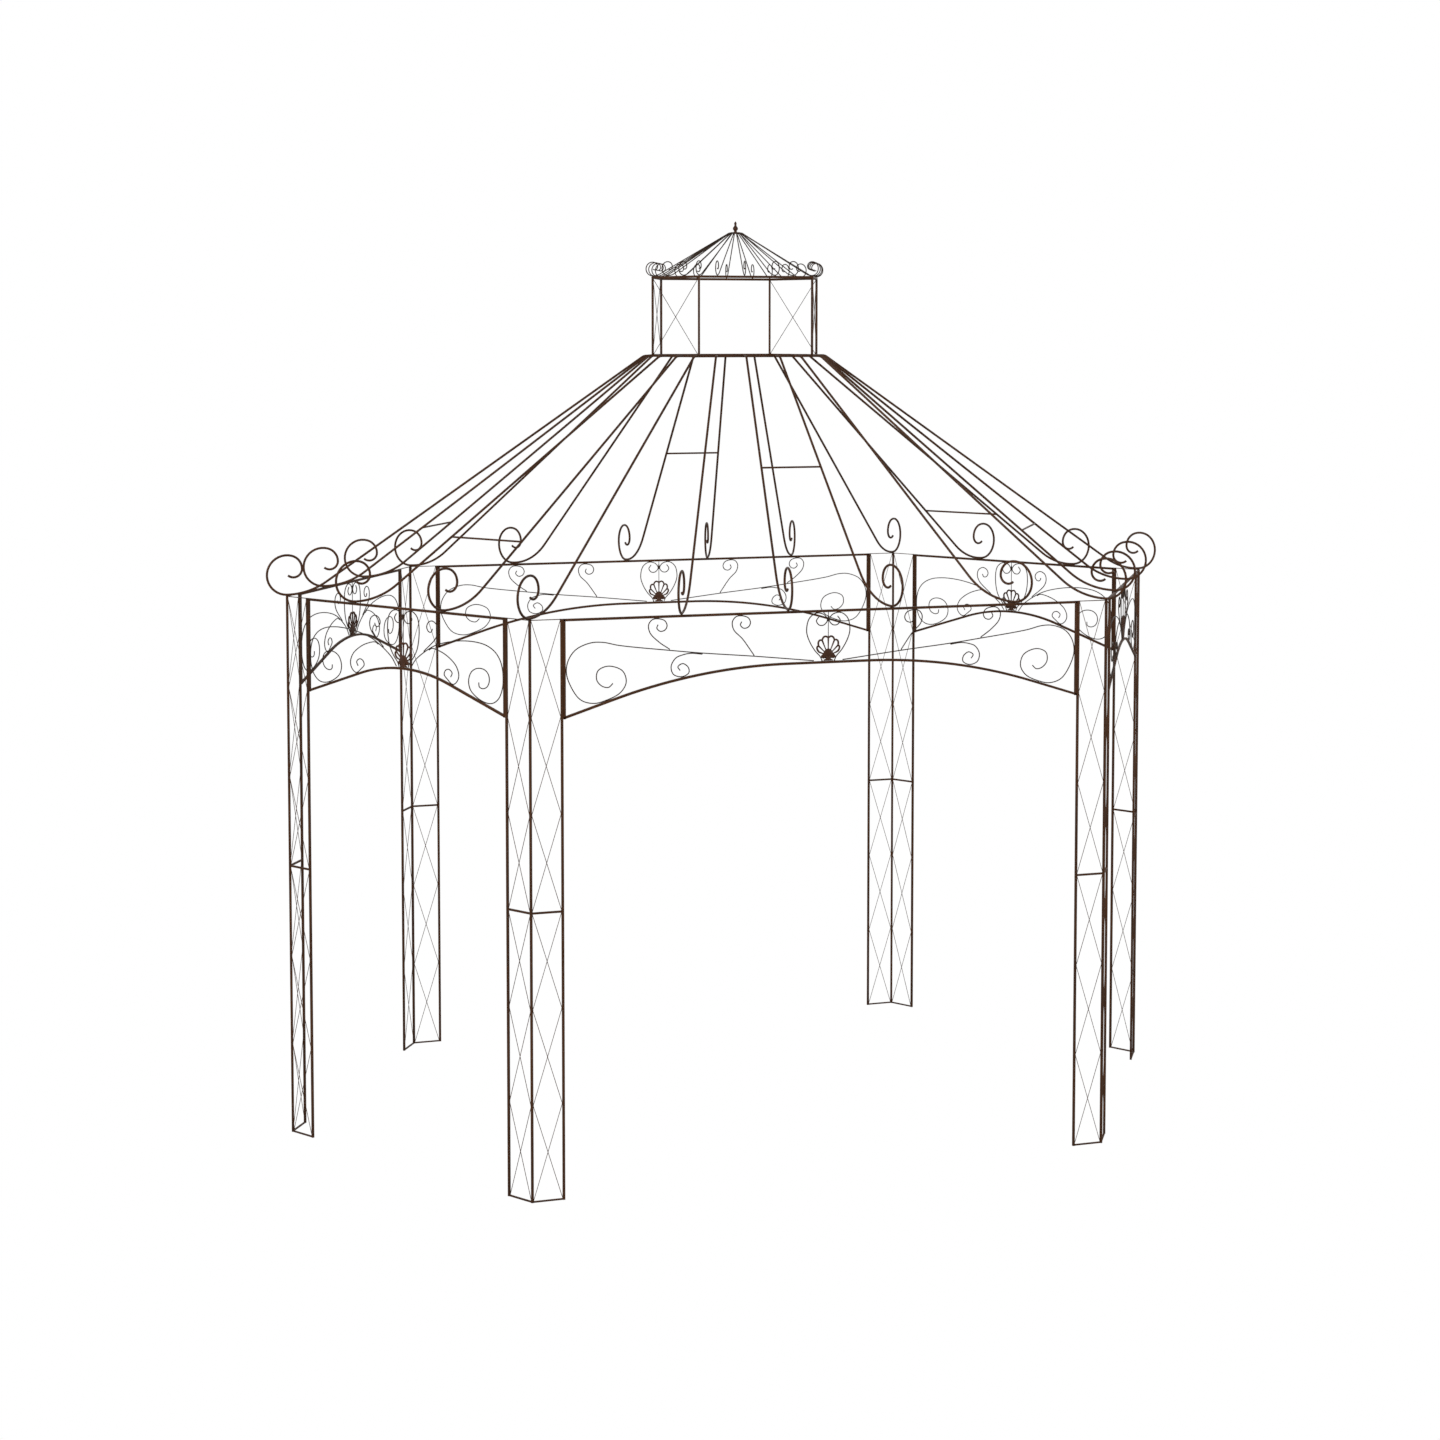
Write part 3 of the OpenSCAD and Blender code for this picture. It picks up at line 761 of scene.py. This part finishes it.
def strands(side):
    f = end_face(side)
    made = [sweep(side), lower_scroll(side), heart(side)]
    if is_long(side):
        made += [upper_scroll(side, 3, 0.336 * f), upper_scroll(side, 9, 0.654 * f)]
    else:
        made += [short_upper_scroll(side)]
    return made


def drawn(side, points, sign=1, y=0.0):
    return [on_side(side, sign * v * MM, HEIGHT + z * MM, y) for v, z in points]


def frieze_piece(side):
    s = sizes()
    reach = arch_span(side)
    steps = 28
    half = [over_arch(side, reach * k / steps, 0) for k in range(steps + 1)]
    half[-1] = (reach + 3, arch_z(side, reach) - 3 * math.tan(SLOPE))
    arch = [(-v, z) for v, z in reversed(half)] + half[1:]
    rail = [(-reach - 3, -RAIL / 2), (-reach / 2, -RAIL / 2), (0, -RAIL / 2), (reach / 2, -RAIL / 2), (reach + 3, -RAIL / 2)]
    bars = square_bars([drawn(side, arch), drawn(side, rail)], RAIL * MM, iron())
    along = on_side(side, 1, 0) - on_side(side, 0, 0)
    end = side_length(side) / 2 - (END + 5) * MM

    def build(bm):
        for sign in (-1, 1):
            low = on_side(side, sign * end, HEIGHT - DROP * MM)
            high = on_side(side, sign * end, HEIGHT)
            chamfered_bar(bm, low, high, (s.tube, s.tube), along, s.edge)

    node = "frieze_" + SIDES[side]
    piece("ironwork_" + node, [bars, bar_mesh(build, iron())], iron(), "frame_iron", node)
    welds = []
    for sign in (-1, 1):
        welds += drawn(side, [(reach - 5, -RAIL / 2), (reach - 5, arch_z(side, reach - 5))], sign)
        for z in (-60, -200, -340):
            welds += drawn(side, [(reach + 5.2, z)], sign)
    return welds


def scroll_piece(side):
    s = sizes()
    paths, welds = [], []
    for sign in (-1, 1):
        for knots in strands(side):
            paths.append(drawn(side, [tuple(p) for p in smooth(knots)], sign))
        f = end_face(side)
        touches = [over_arch(side, f - (166 if is_long(side) else 124), LIFT - 2), (f - 1, -204 if is_long(side) else -242)]
        touches += [lower_scroll(side)[6 if is_long(side) else 7], heart(side)[0], heart(side)[6]]
        touches += [branch(side, 6, -2)[0]]
        if is_long(side):
            touches += [branch(side, 3, 2)[0], branch(side, 9, 2)[0]]
            touches += [(share * f, -RAIL - 1) for share in (0.336, 0.654)]
        else:
            touches += [branch(side, 5, 2)[0]]
        welds += drawn(side, touches, sign)
    wires = round_bars(paths, s.scroll_wire, wire())
    tip = -apex(side) + RAIL / 2 + 103
    stem = round_bars([drawn(side, [(0, tip - 4), (0, -RAIL - 0.5)])], 0.0032, wire())
    # Small turned knot on the stem, between the heart's curls
    knot = bar_mesh(
        lambda bm: lathe(bm, [(r * MM, z * MM) for r, z in KNOT], 16),
        wire(),
    )
    knot.transform(Matrix.Translation(on_side(side, 0, HEIGHT - 0.036)))
    for polygon in knot.polygons:
        polygon.use_smooth = True
    node = "scrolls_" + SIDES[side]
    piece("ironwork_" + node, [wires, stem, knot], wire(), "scroll_wire", node)
    return welds


KNOT = ((0, -13), (1.9, -12.5), (2.6, -9), (3.4, -6), (3.0, -3), (3.9, 0), (3.0, 3), (3.4, 6), (2.6, 9), (1.9, 12.5), (0, 13))


# ---- Shells ----


def rib(bm):
    """One rib of the fan: a stout bar that swells from the palm to the rim."""
    turns = 10
    stations = [(0.05, 2.0, 2.0), (0.30, 2.3, 2.6), (0.60, 2.7, 3.0), (0.80, 3.3, 3.3), (0.90, 3.7, 3.4), (0.965, 3.0, 3.0), (0.985, 1.6, 1.8)]
    rings = []
    for share, wide, thick in stations:
        rings.append(
            [
                bm.verts.new(
                    (
                        wide * MM * math.cos(2 * math.pi * k / turns),
                        thick * MM * math.sin(2 * math.pi * k / turns),
                        share * SHELL_REACH,
                    )
                )
                for k in range(turns)
            ]
        )
    for low, high in zip(rings[:-1], rings[1:]):
        for k in range(turns):
            j = (k + 1) % turns
            bm.faces.new((low[k], low[j], high[j], high[k]))
    bm.faces.new(reversed(rings[0]))
    bm.faces.new(rings[-1])


SHELL_REACH = 0.0745
SHELL_SPREAD = math.radians(136)


def rib_reach(share):
    """Length of the rib at a share of the fan, as the fan's tree scales it."""
    return SHELL_REACH * (1 - 1.64 * (share - 0.5) ** 2)


def rim_path(ribs):
    """The scalloped rim: a lobe between each rib and the next."""
    points = []
    for k in range(ribs - 1):
        for j in range(8):
            t = j / 8
            share = (k + t) / (ribs - 1)
            turn = (share - 0.5) * SHELL_SPREAD
            reach = rib_reach(share) * (0.955 + 0.13 * math.sin(math.pi * t) ** 0.8)
            points.append(Vector((reach * math.sin(turn), 0, reach * math.cos(turn))))
    turn = 0.5 * SHELL_SPREAD
    reach = rib_reach(1) * 0.955
    points.append(Vector((reach * math.sin(turn), 0, reach * math.cos(turn))))
    return points


def domed_plate(bm, outline, thick):
    """A plate on the XZ plane with rounded edges."""
    rings = []
    for shrink, y in ((0.86, -1.0), (0.97, -0.6), (1.0, 0.0), (0.97, 0.6), (0.86, 1.0)):
        mid = Vector((0, sum(z for _, z in outline) / len(outline)))
        rings.append([bm.verts.new((x * shrink, y * thick / 2, mid.y + (z - mid.y) * shrink)) for x, z in outline])
    n = len(outline)
    for low, high in zip(rings[:-1], rings[1:]):
        for k in range(n):
            bm.faces.new((low[k], low[(k + 1) % n], high[(k + 1) % n], high[k]))
    bm.faces.new(reversed(rings[0]))
    bm.faces.new(rings[-1])


def arc_outline(width, height, base, steps=14):
    top = [(width / 2 * math.cos(math.pi * k / steps), base + height * math.sin(math.pi * k / steps)) for k in range(steps + 1)]
    return top


def shell_piece(side):
    s = sizes()
    fan = grown(bar_mesh(rib, ornament()), tree(fan_tree), ornament(), Count=s.ribs, Spread=SHELL_SPREAD)
    rim = round_bars([rim_path(s.ribs)], 0.0078, ornament(), 10)
    for mesh in (fan, rim):
        mesh.transform(Matrix.Translation((0, 0, 0.0206)))

    def body(bm):
        # Palm of the shell, side leaves and the flared foot
        domed_plate(bm, arc_outline(0.048, 0.034, 0.016), 0.0074)
        for sign in (-1, 1):
            leaf = [(sign * x, z) for x, z in ((0.006, 0.012), (0.022, 0.009), (0.032, 0.014), (0.031, 0.022), (0.024, 0.028), (0.008, 0.026))]
            domed_plate(bm, leaf, 0.0060)
        # Spike that meets the stem
        spike = [(-0.0042, 0.092), (0.0042, 0.092), (0.0016, 0.1), (0.0008, 0.1028), (-0.0008, 0.1028), (-0.0016, 0.1)]
        domed_plate(bm, spike, 0.006)
        foot = [(0.0215, 0.0006), (0.0190, 0.005), (0.0120, 0.008), (0.0095, 0.014), (0.013, 0.021)]
        domed_plate(bm, foot + [(-x, z) for x, z in reversed(foot)], 0.0076)

    solid = bar_mesh(body, ornament())
    turn = math.atan2((PLAN[(side + 1) % 6] - PLAN[side]).y, (PLAN[(side + 1) % 6] - PLAN[side]).x)
    base = on_side(side, 0, HEIGHT - apex(side) * MM + RAIL * MM / 2 + SEAT)
    for mesh in (fan, rim, solid):
        mesh.transform(Matrix.Translation(base) @ Matrix.Rotation(turn, 4, "Z"))
        for polygon in mesh.polygons:
            polygon.use_smooth = True
    node = "shell_" + SIDES[side]
    piece("ironwork_" + node, [fan, rim, solid], ornament(), "ornament_iron", node)


# ---- Roof ----

CURL = ((1.0, 195, 20), (0.69, 75, 7), (0.43, 130, 10))


def curl_points(radius):
    """Curl in a rod's own plane: three turns of falling radius, starting at the rail."""
    at, start, points = Vector((0, 0)), -90.0, []
    for share, sweep_by, steps in CURL:
        r = radius * share
        a = math.radians(start)
        centre = at - r * Vector((math.cos(a), math.sin(a)))
        for k in range(1, steps + 1):
            b = math.radians(start - sweep_by * k / steps)
            points.append(centre + r * Vector((math.cos(b), math.sin(b))))
        at, start = points[-1], start - sweep_by
    return points


def rod_profile(end, rise, flare, curl, level):
    bend = end - level
    k = rise - flare
    slope = math.asin(flare / math.hypot(bend, k)) + math.atan2(k, bend)
    ease = level / 3
    points = list(reversed(curl_points(curl)))
    points += [flare * Vector((math.sin(slope * j / 12), 1 - math.cos(slope * j / 12))) for j in range(13)]
    # The bend into the level end, rounded as a bar bent cold
    a = Vector((bend - ease * math.cos(slope), rise - ease * math.sin(slope)))
    b, c = Vector((bend, rise)), Vector((bend + ease, rise))
    points += [(1 - t) ** 2 * a + 2 * t * (1 - t) * b + t * t * c for t in (0, 0.25, 0.5, 0.75, 1)]
    points.append(Vector((end, rise)))
    return points, slope


def in_plane(start, along, profile):
    return [Vector((start.x + p.x * along.x, start.y + p.x * along.y, start.z + p.y)) for p in profile]


def ring_places(side):
    return LONG_RING_PLACES if is_long(side) else SHORT_RING_PLACES


def rod_ends(side, k):
    seat = PLAN[side] + ROD_PLACES[side][k] * (PLAN[(side + 1) % 6] - PLAN[side])
    goal = RING[side] + ring_places(side)[k] * (RING[(side + 1) % 6] - RING[side])
    return seat, goal


def roof_rod(side, k):
    s = sizes()
    seat, goal = rod_ends(side, k)
    run = goal - seat
    along = run.normalized()
    c = along.dot(inward(RING, side))
    end = run.length - TUBE / 2 / c
    z = HEIGHT + SEAT + s.rod / 2
    profile, slope = rod_profile(end, RING_Z - z, 0.300, 0.084, 0.035)
    return in_plane(Vector((seat.x, seat.y, z)), along, profile), end, slope


def rod_at(side, k, z):
    seat, goal = rod_ends(side, k)
    along = (goal - seat).normalized()
    _, end, slope = roof_rod(side, k)
    p = seat + (end - 0.035 - (RING_Z - z) / math.tan(slope)) * along
    return Vector((p.x, p.y, z))


def roof_rods_piece(side):
    s = sizes()
    rods = [roof_rod(side, k)[0] for k in range(len(ROD_PLACES[side]))]
    k, z = (1, 2.860) if is_long(side) else (0, 2.570)
    a, b = rod_at(side, k, z), rod_at(side, k + 1, z)
    t = (b - a).normalized() * (s.rod / 2)
    tie = round_bars([[a + t * 0.4, (a + b) / 2, b - t * 0.4]], s.tie, iron(), 16)
    node = "roof_rods_" + SIDES[side]
    piece("ironwork_" + node, [round_bars(rods, s.rod, iron(), 16), tie], iron(), "frame_iron", node)
    welds = [a + t, b - t]
    for j in range(len(rods)):
        seat, _ = rod_ends(side, j)
        welds += [Vector((seat.x, seat.y, HEIGHT + 0.001)), rods[j][-1]]
    return welds


def ring_edge(d):
    points = []
    for i in range(6):
        a, b = inward(RING, i - 1), inward(RING, i)
        points.append(RING[i] - d * (a + b) / (1 + a.dot(b)))
    return points


def hip_rod_piece(corner):
    s = sizes()
    seat = PLAN[corner]
    run = RING[corner] - seat
    along = run.normalized()
    tip = ring_edge(TUBE / 2)[corner]
    z = HEIGHT + SEAT + s.rod / 2
    profile, _ = rod_profile((tip - seat).dot(along), RING_Z - z, 0.300, 0.084, 0.035)
    path = in_plane(Vector((seat.x, seat.y, z)), along, profile)
    node = "hip_rod_" + CORNERS[corner]
    piece("ironwork_" + node, [round_bars([path], s.rod, iron(), 16)], iron(), "frame_iron", node)
    return [Vector((seat.x, seat.y, HEIGHT + 0.001)), path[-1]]


# ---- Cupola ----


def ring_bar(bm, z):
    s = sizes()
    a, e = TUBE / 2, s.edge
    section = [(a - e, -a), (a, -a + e), (a, a - e), (a - e, a), (-a + e, a), (-a, a - e), (-a, -a + e), (-a + e, -a)]
    rings = []
    for d, up in section:
        rings.append([bm.verts.new((p.x, p.y, z + up)) for p in ring_edge(d)])
    n = len(rings)
    for j in range(n):
        low, high = rings[j], rings[(j + 1) % n]
        for k in range(6):
            bm.faces.new((low[k], low[(k + 1) % 6], high[(k + 1) % 6], high[k]))


def cupola_frame():
    s = sizes()
    for node, z in (("cupola_base_ring", RING_Z), ("cupola_top_ring", TOP_RING_Z)):
        piece("ironwork_" + node, [bar_mesh(lambda bm: ring_bar(bm, z), iron())], iron(), "frame_iron", node)

    def posts(bm):
        for i in range(6):
            p = RING[i]
            d = RING[(i + 1) % 6] - RING[i - 1]
            low, high = Vector((p.x, p.y, RING_Z + TUBE / 2)), Vector((p.x, p.y, TOP_RING_Z - TUBE / 2))
            chamfered_bar(bm, low, high, (POST, POST), Vector((d.x, d.y, 0)), s.edge)

    piece("ironwork_cupola_posts", [bar_mesh(posts, iron())], iron(), "frame_iron", "cupola_posts")
    paths, welds = [], []
    for side in (1, 2, 4, 5):
        a, b = RING[side], RING[(side + 1) % 6]
        d = (b - a).normalized()
        n = inward(RING, side)
        for turn in (-1, 1):
            off = turn * s.brace_wire * 0.42 * n
            first, last = a + d * 0.006 + off, b - d * 0.006 + off
            zs = (RING_Z + 0.007, TOP_RING_Z - 0.007)
            zs = zs if turn > 0 else tuple(reversed(zs))
            ends = [Vector((first.x, first.y, zs[0])), Vector((last.x, last.y, zs[1]))]
            paths.append([ends[0].lerp(ends[1], k / 6) for k in range(7)])
            welds += ends
    piece(
        "ironwork_cupola_braces", [round_bars(paths, s.brace_wire, wire(), 8)], wire(), "scroll_wire", "cupola_braces"
    )
    for p in RING:
        welds += [Vector((p.x, p.y, RING_Z + TUBE / 2)), Vector((p.x, p.y, TOP_RING_Z - TUBE / 2))]
    return welds


def cupola_roof():
    s = sizes()
    paths, welds = [], []
    z = TOP_RING_Z + TUBE / 2 + SEAT + s.spoke / 2
    goal_z = APEX_Z - 0.0035
    for side in range(6):
        starts = [RING[side]]
        for share in ring_places(side):
            starts.append(RING[side] + share * (RING[(side + 1) % 6] - RING[side]))
        for at in starts:
            profile, _ = rod_profile(at.length - APEX_R + 0.002, goal_z - z, 0.070, 0.030, 0.007)
            paths.append(in_plane(Vector((at.x, at.y, z)), -at.normalized(), profile))
            welds.append(Vector((at.x, at.y, z - s.spoke / 2)))
    piece("ironwork_cupola_spokes", [round_bars(paths, s.spoke, wire(), 10)], wire(), "scroll_wire", "cupola_spokes")
    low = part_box("apex_plate")[0].z
    plate = [(0, low), (APEX_R - 0.0015, low), (APEX_R, low + 0.0015), (APEX_R, APEX_Z - 0.0018), (APEX_R - 0.002, APEX_Z), (0, APEX_Z)]
    piece("ironwork_apex_plate", [bar_mesh(lambda bm: lathe(bm, plate, 48), iron())], iron(), "frame_iron", "apex_plate")
    return welds


# Finial outline as shares of its height: a collar, a bulb and a pointed knob
FINIAL = (
    (0.13, 0), (0.15, 0.03), (0.15, 0.07), (0.11, 0.10), (0.15, 0.15), (0.22, 0.25), (0.237, 0.33),
    (0.225, 0.41), (0.17, 0.50), (0.11, 0.57), (0.09, 0.61), (0.115, 0.66), (0.09, 0.69), (0.115, 0.74),
    (0.122, 0.80), (0.10, 0.87), (0.06, 0.94), (0.02, 0.985),
)


def finial_piece():
    low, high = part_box("finial")
    h = high.z - low.z
    profile = [(0, low.z)] + [(r * h, low.z + t * h) for r, t in FINIAL] + [(0, high.z)]
    mesh = bar_mesh(lambda bm: lathe(bm, profile, 40), ornament())
    for polygon in mesh.polygons:
        polygon.use_smooth = True
    piece("ironwork_finial", [mesh], ornament(), "ornament_iron", "finial")


def weld_piece(name, points, radius):
    mesh = grown(point_mesh(points), tree(weld_tree), weld(), Radius=radius, Seed=11)
    piece(name, [mesh], weld(), "frame_iron")


# ---- Stage ----


def plain(name, strength, colour, camera_white):
    """A pale surface that lights the ironwork softly and shows as clean white."""
    material = bpy.data.materials.new(name)
    material.use_nodes = True
    nodes, links = material.node_tree.nodes, material.node_tree.links
    nodes.clear()
    out = nodes.new("ShaderNodeOutputMaterial")
    soft = nodes.new("ShaderNodeBsdfDiffuse")
    soft.inputs["Color"].default_value = (*colour, 1)
    glow = nodes.new("ShaderNodeEmission")
    glow.inputs["Color"].default_value = (1, 1, 1, 1)
    glow.inputs["Strength"].default_value = strength
    ray = nodes.new("ShaderNodeLightPath")
    mix = nodes.new("ShaderNodeMixShader")
    links.new(ray.outputs["Is Camera Ray"], mix.inputs[0])
    links.new(soft.outputs[0], mix.inputs[1])
    links.new((glow if camera_white else soft).outputs[0], mix.inputs[2])
    links.new(mix.outputs[0], out.inputs[0])
    return material


def area_light(name, at, aim, size, power, colour=(1, 1, 1)):
    data = bpy.data.lights.new(name, "AREA")
    data.shape = "RECTANGLE"
    data.size, data.size_y = size
    data.energy = power
    data.color = colour
    lamp = bpy.data.objects.new(name, data)
    lamp.location = at
    lamp.rotation_euler = (Vector(aim) - Vector(at)).to_track_quat("-Z", "Y").to_euler()
    bpy.context.scene.collection.objects.link(lamp)
    return lamp


def build_stage():
    scene = bpy.context.scene
    stage = scene.gazebo_stage
    floor = bpy.data.meshes.new("floor")
    r, z = 40.0, -0.002
    floor.from_pydata([(-r, -r, z), (r, -r, z), (r, r, z), (-r, r, z)], [], [(0, 1, 2, 3)])
    floor.materials.append(plain("pale_floor", 1.0, (0.8, 0.79, 0.77), True))
    floor = bpy.data.objects.new("floor", floor)
    scene.collection.objects.link(floor)

    world = bpy.data.worlds.new("studio")
    scene.world = world
    world.use_nodes = True
    nodes, links = world.node_tree.nodes, world.node_tree.links
    nodes.clear()
    out = nodes.new("ShaderNodeOutputWorld")
    ray = nodes.new("ShaderNodeLightPath")
    soft, white = nodes.new("ShaderNodeBackground"), nodes.new("ShaderNodeBackground")
    soft.inputs["Color"].default_value = (1.0, 0.985, 0.96, 1)
    soft.inputs["Strength"].default_value = stage.sky
    white.inputs["Color"].default_value = (1, 1, 1, 1)
    white.inputs["Strength"].default_value = 1.0
    mix = nodes.new("ShaderNodeMixShader")
    direct, seen = nodes.new("ShaderNodeMath"), nodes.new("ShaderNodeMath")
    direct.operation = seen.operation = "MAXIMUM"
    links.new(ray.outputs["Is Camera Ray"], direct.inputs[0])
    links.new(ray.outputs["Is Glossy Ray"], direct.inputs[1])
    links.new(direct.outputs[0], seen.inputs[0])
    links.new(ray.outputs["Is Transmission Ray"], seen.inputs[1])
    links.new(seen.outputs[0], mix.inputs[0])
    links.new(soft.outputs[0], mix.inputs[1])
    links.new(white.outputs[0], mix.inputs[2])
    links.new(mix.outputs[0], out.inputs[0])

    area_light("key", (-7.5, -8.0, 7.0), (0, 0, 1.8), (3.0, 3.0), stage.key, (1.0, 0.96, 0.90))
    area_light("fill", (8.0, -6.0, 3.5), (0, 0, 1.8), (5.0, 4.0), stage.key * 0.28, (0.95, 0.97, 1.0))

    data = bpy.data.cameras.new("camera")
    data.lens = stage.lens
    data.sensor_width = 36
    data.shift_y = -0.15
    data.clip_end = 200
    camera = bpy.data.objects.new("camera", data)
    camera.location = (-3.605, -10.977, 3.440)
    camera.rotation_euler = (math.radians(90 - 3.849), 0, math.radians(-17.842))
    scene.collection.objects.link(camera)
    scene.camera = camera
    scene.view_settings.view_transform = "Standard"


# ---- Operators ----


class GAZEBO_OT_stage(bpy.types.Operator):
    """Sets the white stage, the soft lights and the camera"""

    bl_idname = "gazebo.stage"
    bl_label = "Stage"

    def execute(self, context):
        build_stage()
        return {"FINISHED"}


class GAZEBO_OT_columns(bpy.types.Operator):
    """Builds the six braced corner columns"""

    bl_idname = "gazebo.columns"
    bl_label = "Columns"

    def execute(self, context):
        welds = []
        for corner in range(6):
            welds += column_piece(corner)
        weld_piece("welds_columns", welds, sizes().bead * 0.62)
        return {"FINISHED"}


class GAZEBO_OT_friezes(bpy.types.Operator):
    """Builds the rails and arches of the six friezes"""

    bl_idname = "gazebo.friezes"
    bl_label = "Friezes"

    def execute(self, context):
        welds = []
        for side in range(6):
            welds += frieze_piece(side)
        weld_piece("welds_friezes", welds, sizes().bead)
        return {"FINISHED"}


class GAZEBO_OT_scrolls(bpy.types.Operator):
    """Bends the scrollwork of the six friezes"""

    bl_idname = "gazebo.scrolls"
    bl_label = "Scrolls"

    def execute(self, context):
        welds = []
        for side in range(6):
            welds += scroll_piece(side)
        weld_piece("welds_scrolls", welds, sizes().bead * 0.7)
        return {"FINISHED"}


class GAZEBO_OT_shells(bpy.types.Operator):
    """Casts the six ribbed shells"""

    bl_idname = "gazebo.shells"
    bl_label = "Shells"

    def execute(self, context):
        for side in range(6):
            shell_piece(side)
        return {"FINISHED"}


class GAZEBO_OT_roof(bpy.types.Operator):
    """Bends the hip rods, the roof rods and their tie bars"""

    bl_idname = "gazebo.roof"
    bl_label = "Roof rods"

    def execute(self, context):
        welds = []
        for side in range(6):
            welds += roof_rods_piece(side)
            welds += hip_rod_piece(side)
        weld_piece("welds_roof", welds, sizes().bead)
        return {"FINISHED"}


class GAZEBO_OT_cupola(bpy.types.Operator):
    """Builds the cupola's rings, posts, braces and roof spokes"""

    bl_idname = "gazebo.cupola"
    bl_label = "Cupola"

    def execute(self, context):
        welds = cupola_frame() + cupola_roof()
        weld_piece("welds_cupola", welds, sizes().bead * 0.7)
        return {"FINISHED"}


class GAZEBO_OT_finial(bpy.types.Operator):
    """Turns the finial on the cupola's tip"""

    bl_idname = "gazebo.finial"
    bl_label = "Finial"

    def execute(self, context):
        finial_piece()
        return {"FINISHED"}


STEPS = (
    GAZEBO_OT_stage,
    GAZEBO_OT_columns,
    GAZEBO_OT_friezes,
    GAZEBO_OT_scrolls,
    GAZEBO_OT_shells,
    GAZEBO_OT_roof,
    GAZEBO_OT_cupola,
    GAZEBO_OT_finial,
)


class GAZEBO_PT_panel(bpy.types.Panel):
    """Lists the gazebo's sizes, finishes and building steps"""

    bl_idname = "GAZEBO_PT_panel"
    bl_label = "Garden gazebo"
    bl_space_type = "VIEW_3D"
    bl_region_type = "UI"
    bl_category = "Gazebo"

    def draw(self, context):
        for group in (context.scene.gazebo_sizes, context.scene.gazebo_finish, context.scene.gazebo_stage):
            box = self.layout.box()
            for name in group.bl_rna.properties.keys():
                if name not in ("rna_type", "name"):
                    box.prop(group, name)
        for step in STEPS:
            self.layout.operator(step.bl_idname)


GROUPS = (("gazebo_sizes", GazeboSizes), ("gazebo_finish", GazeboFinish), ("gazebo_stage", GazeboStage))


def register():
    for name, group in GROUPS:
        bpy.utils.register_class(group)
        setattr(bpy.types.Scene, name, PointerProperty(type=group))
    for step in STEPS:
        bpy.utils.register_class(step)
    bpy.utils.register_class(GAZEBO_PT_panel)


def unregister():
    bpy.utils.unregister_class(GAZEBO_PT_panel)
    for step in reversed(STEPS):
        bpy.utils.unregister_class(step)
    for name, group in reversed(GROUPS):
        delattr(bpy.types.Scene, name)
        bpy.utils.unregister_class(group)


def main():
    register()
    for step in STEPS:
        area, name = step.bl_idname.split(".")
        getattr(getattr(bpy.ops, area), name)()


if __name__ == "__main__":
    main()
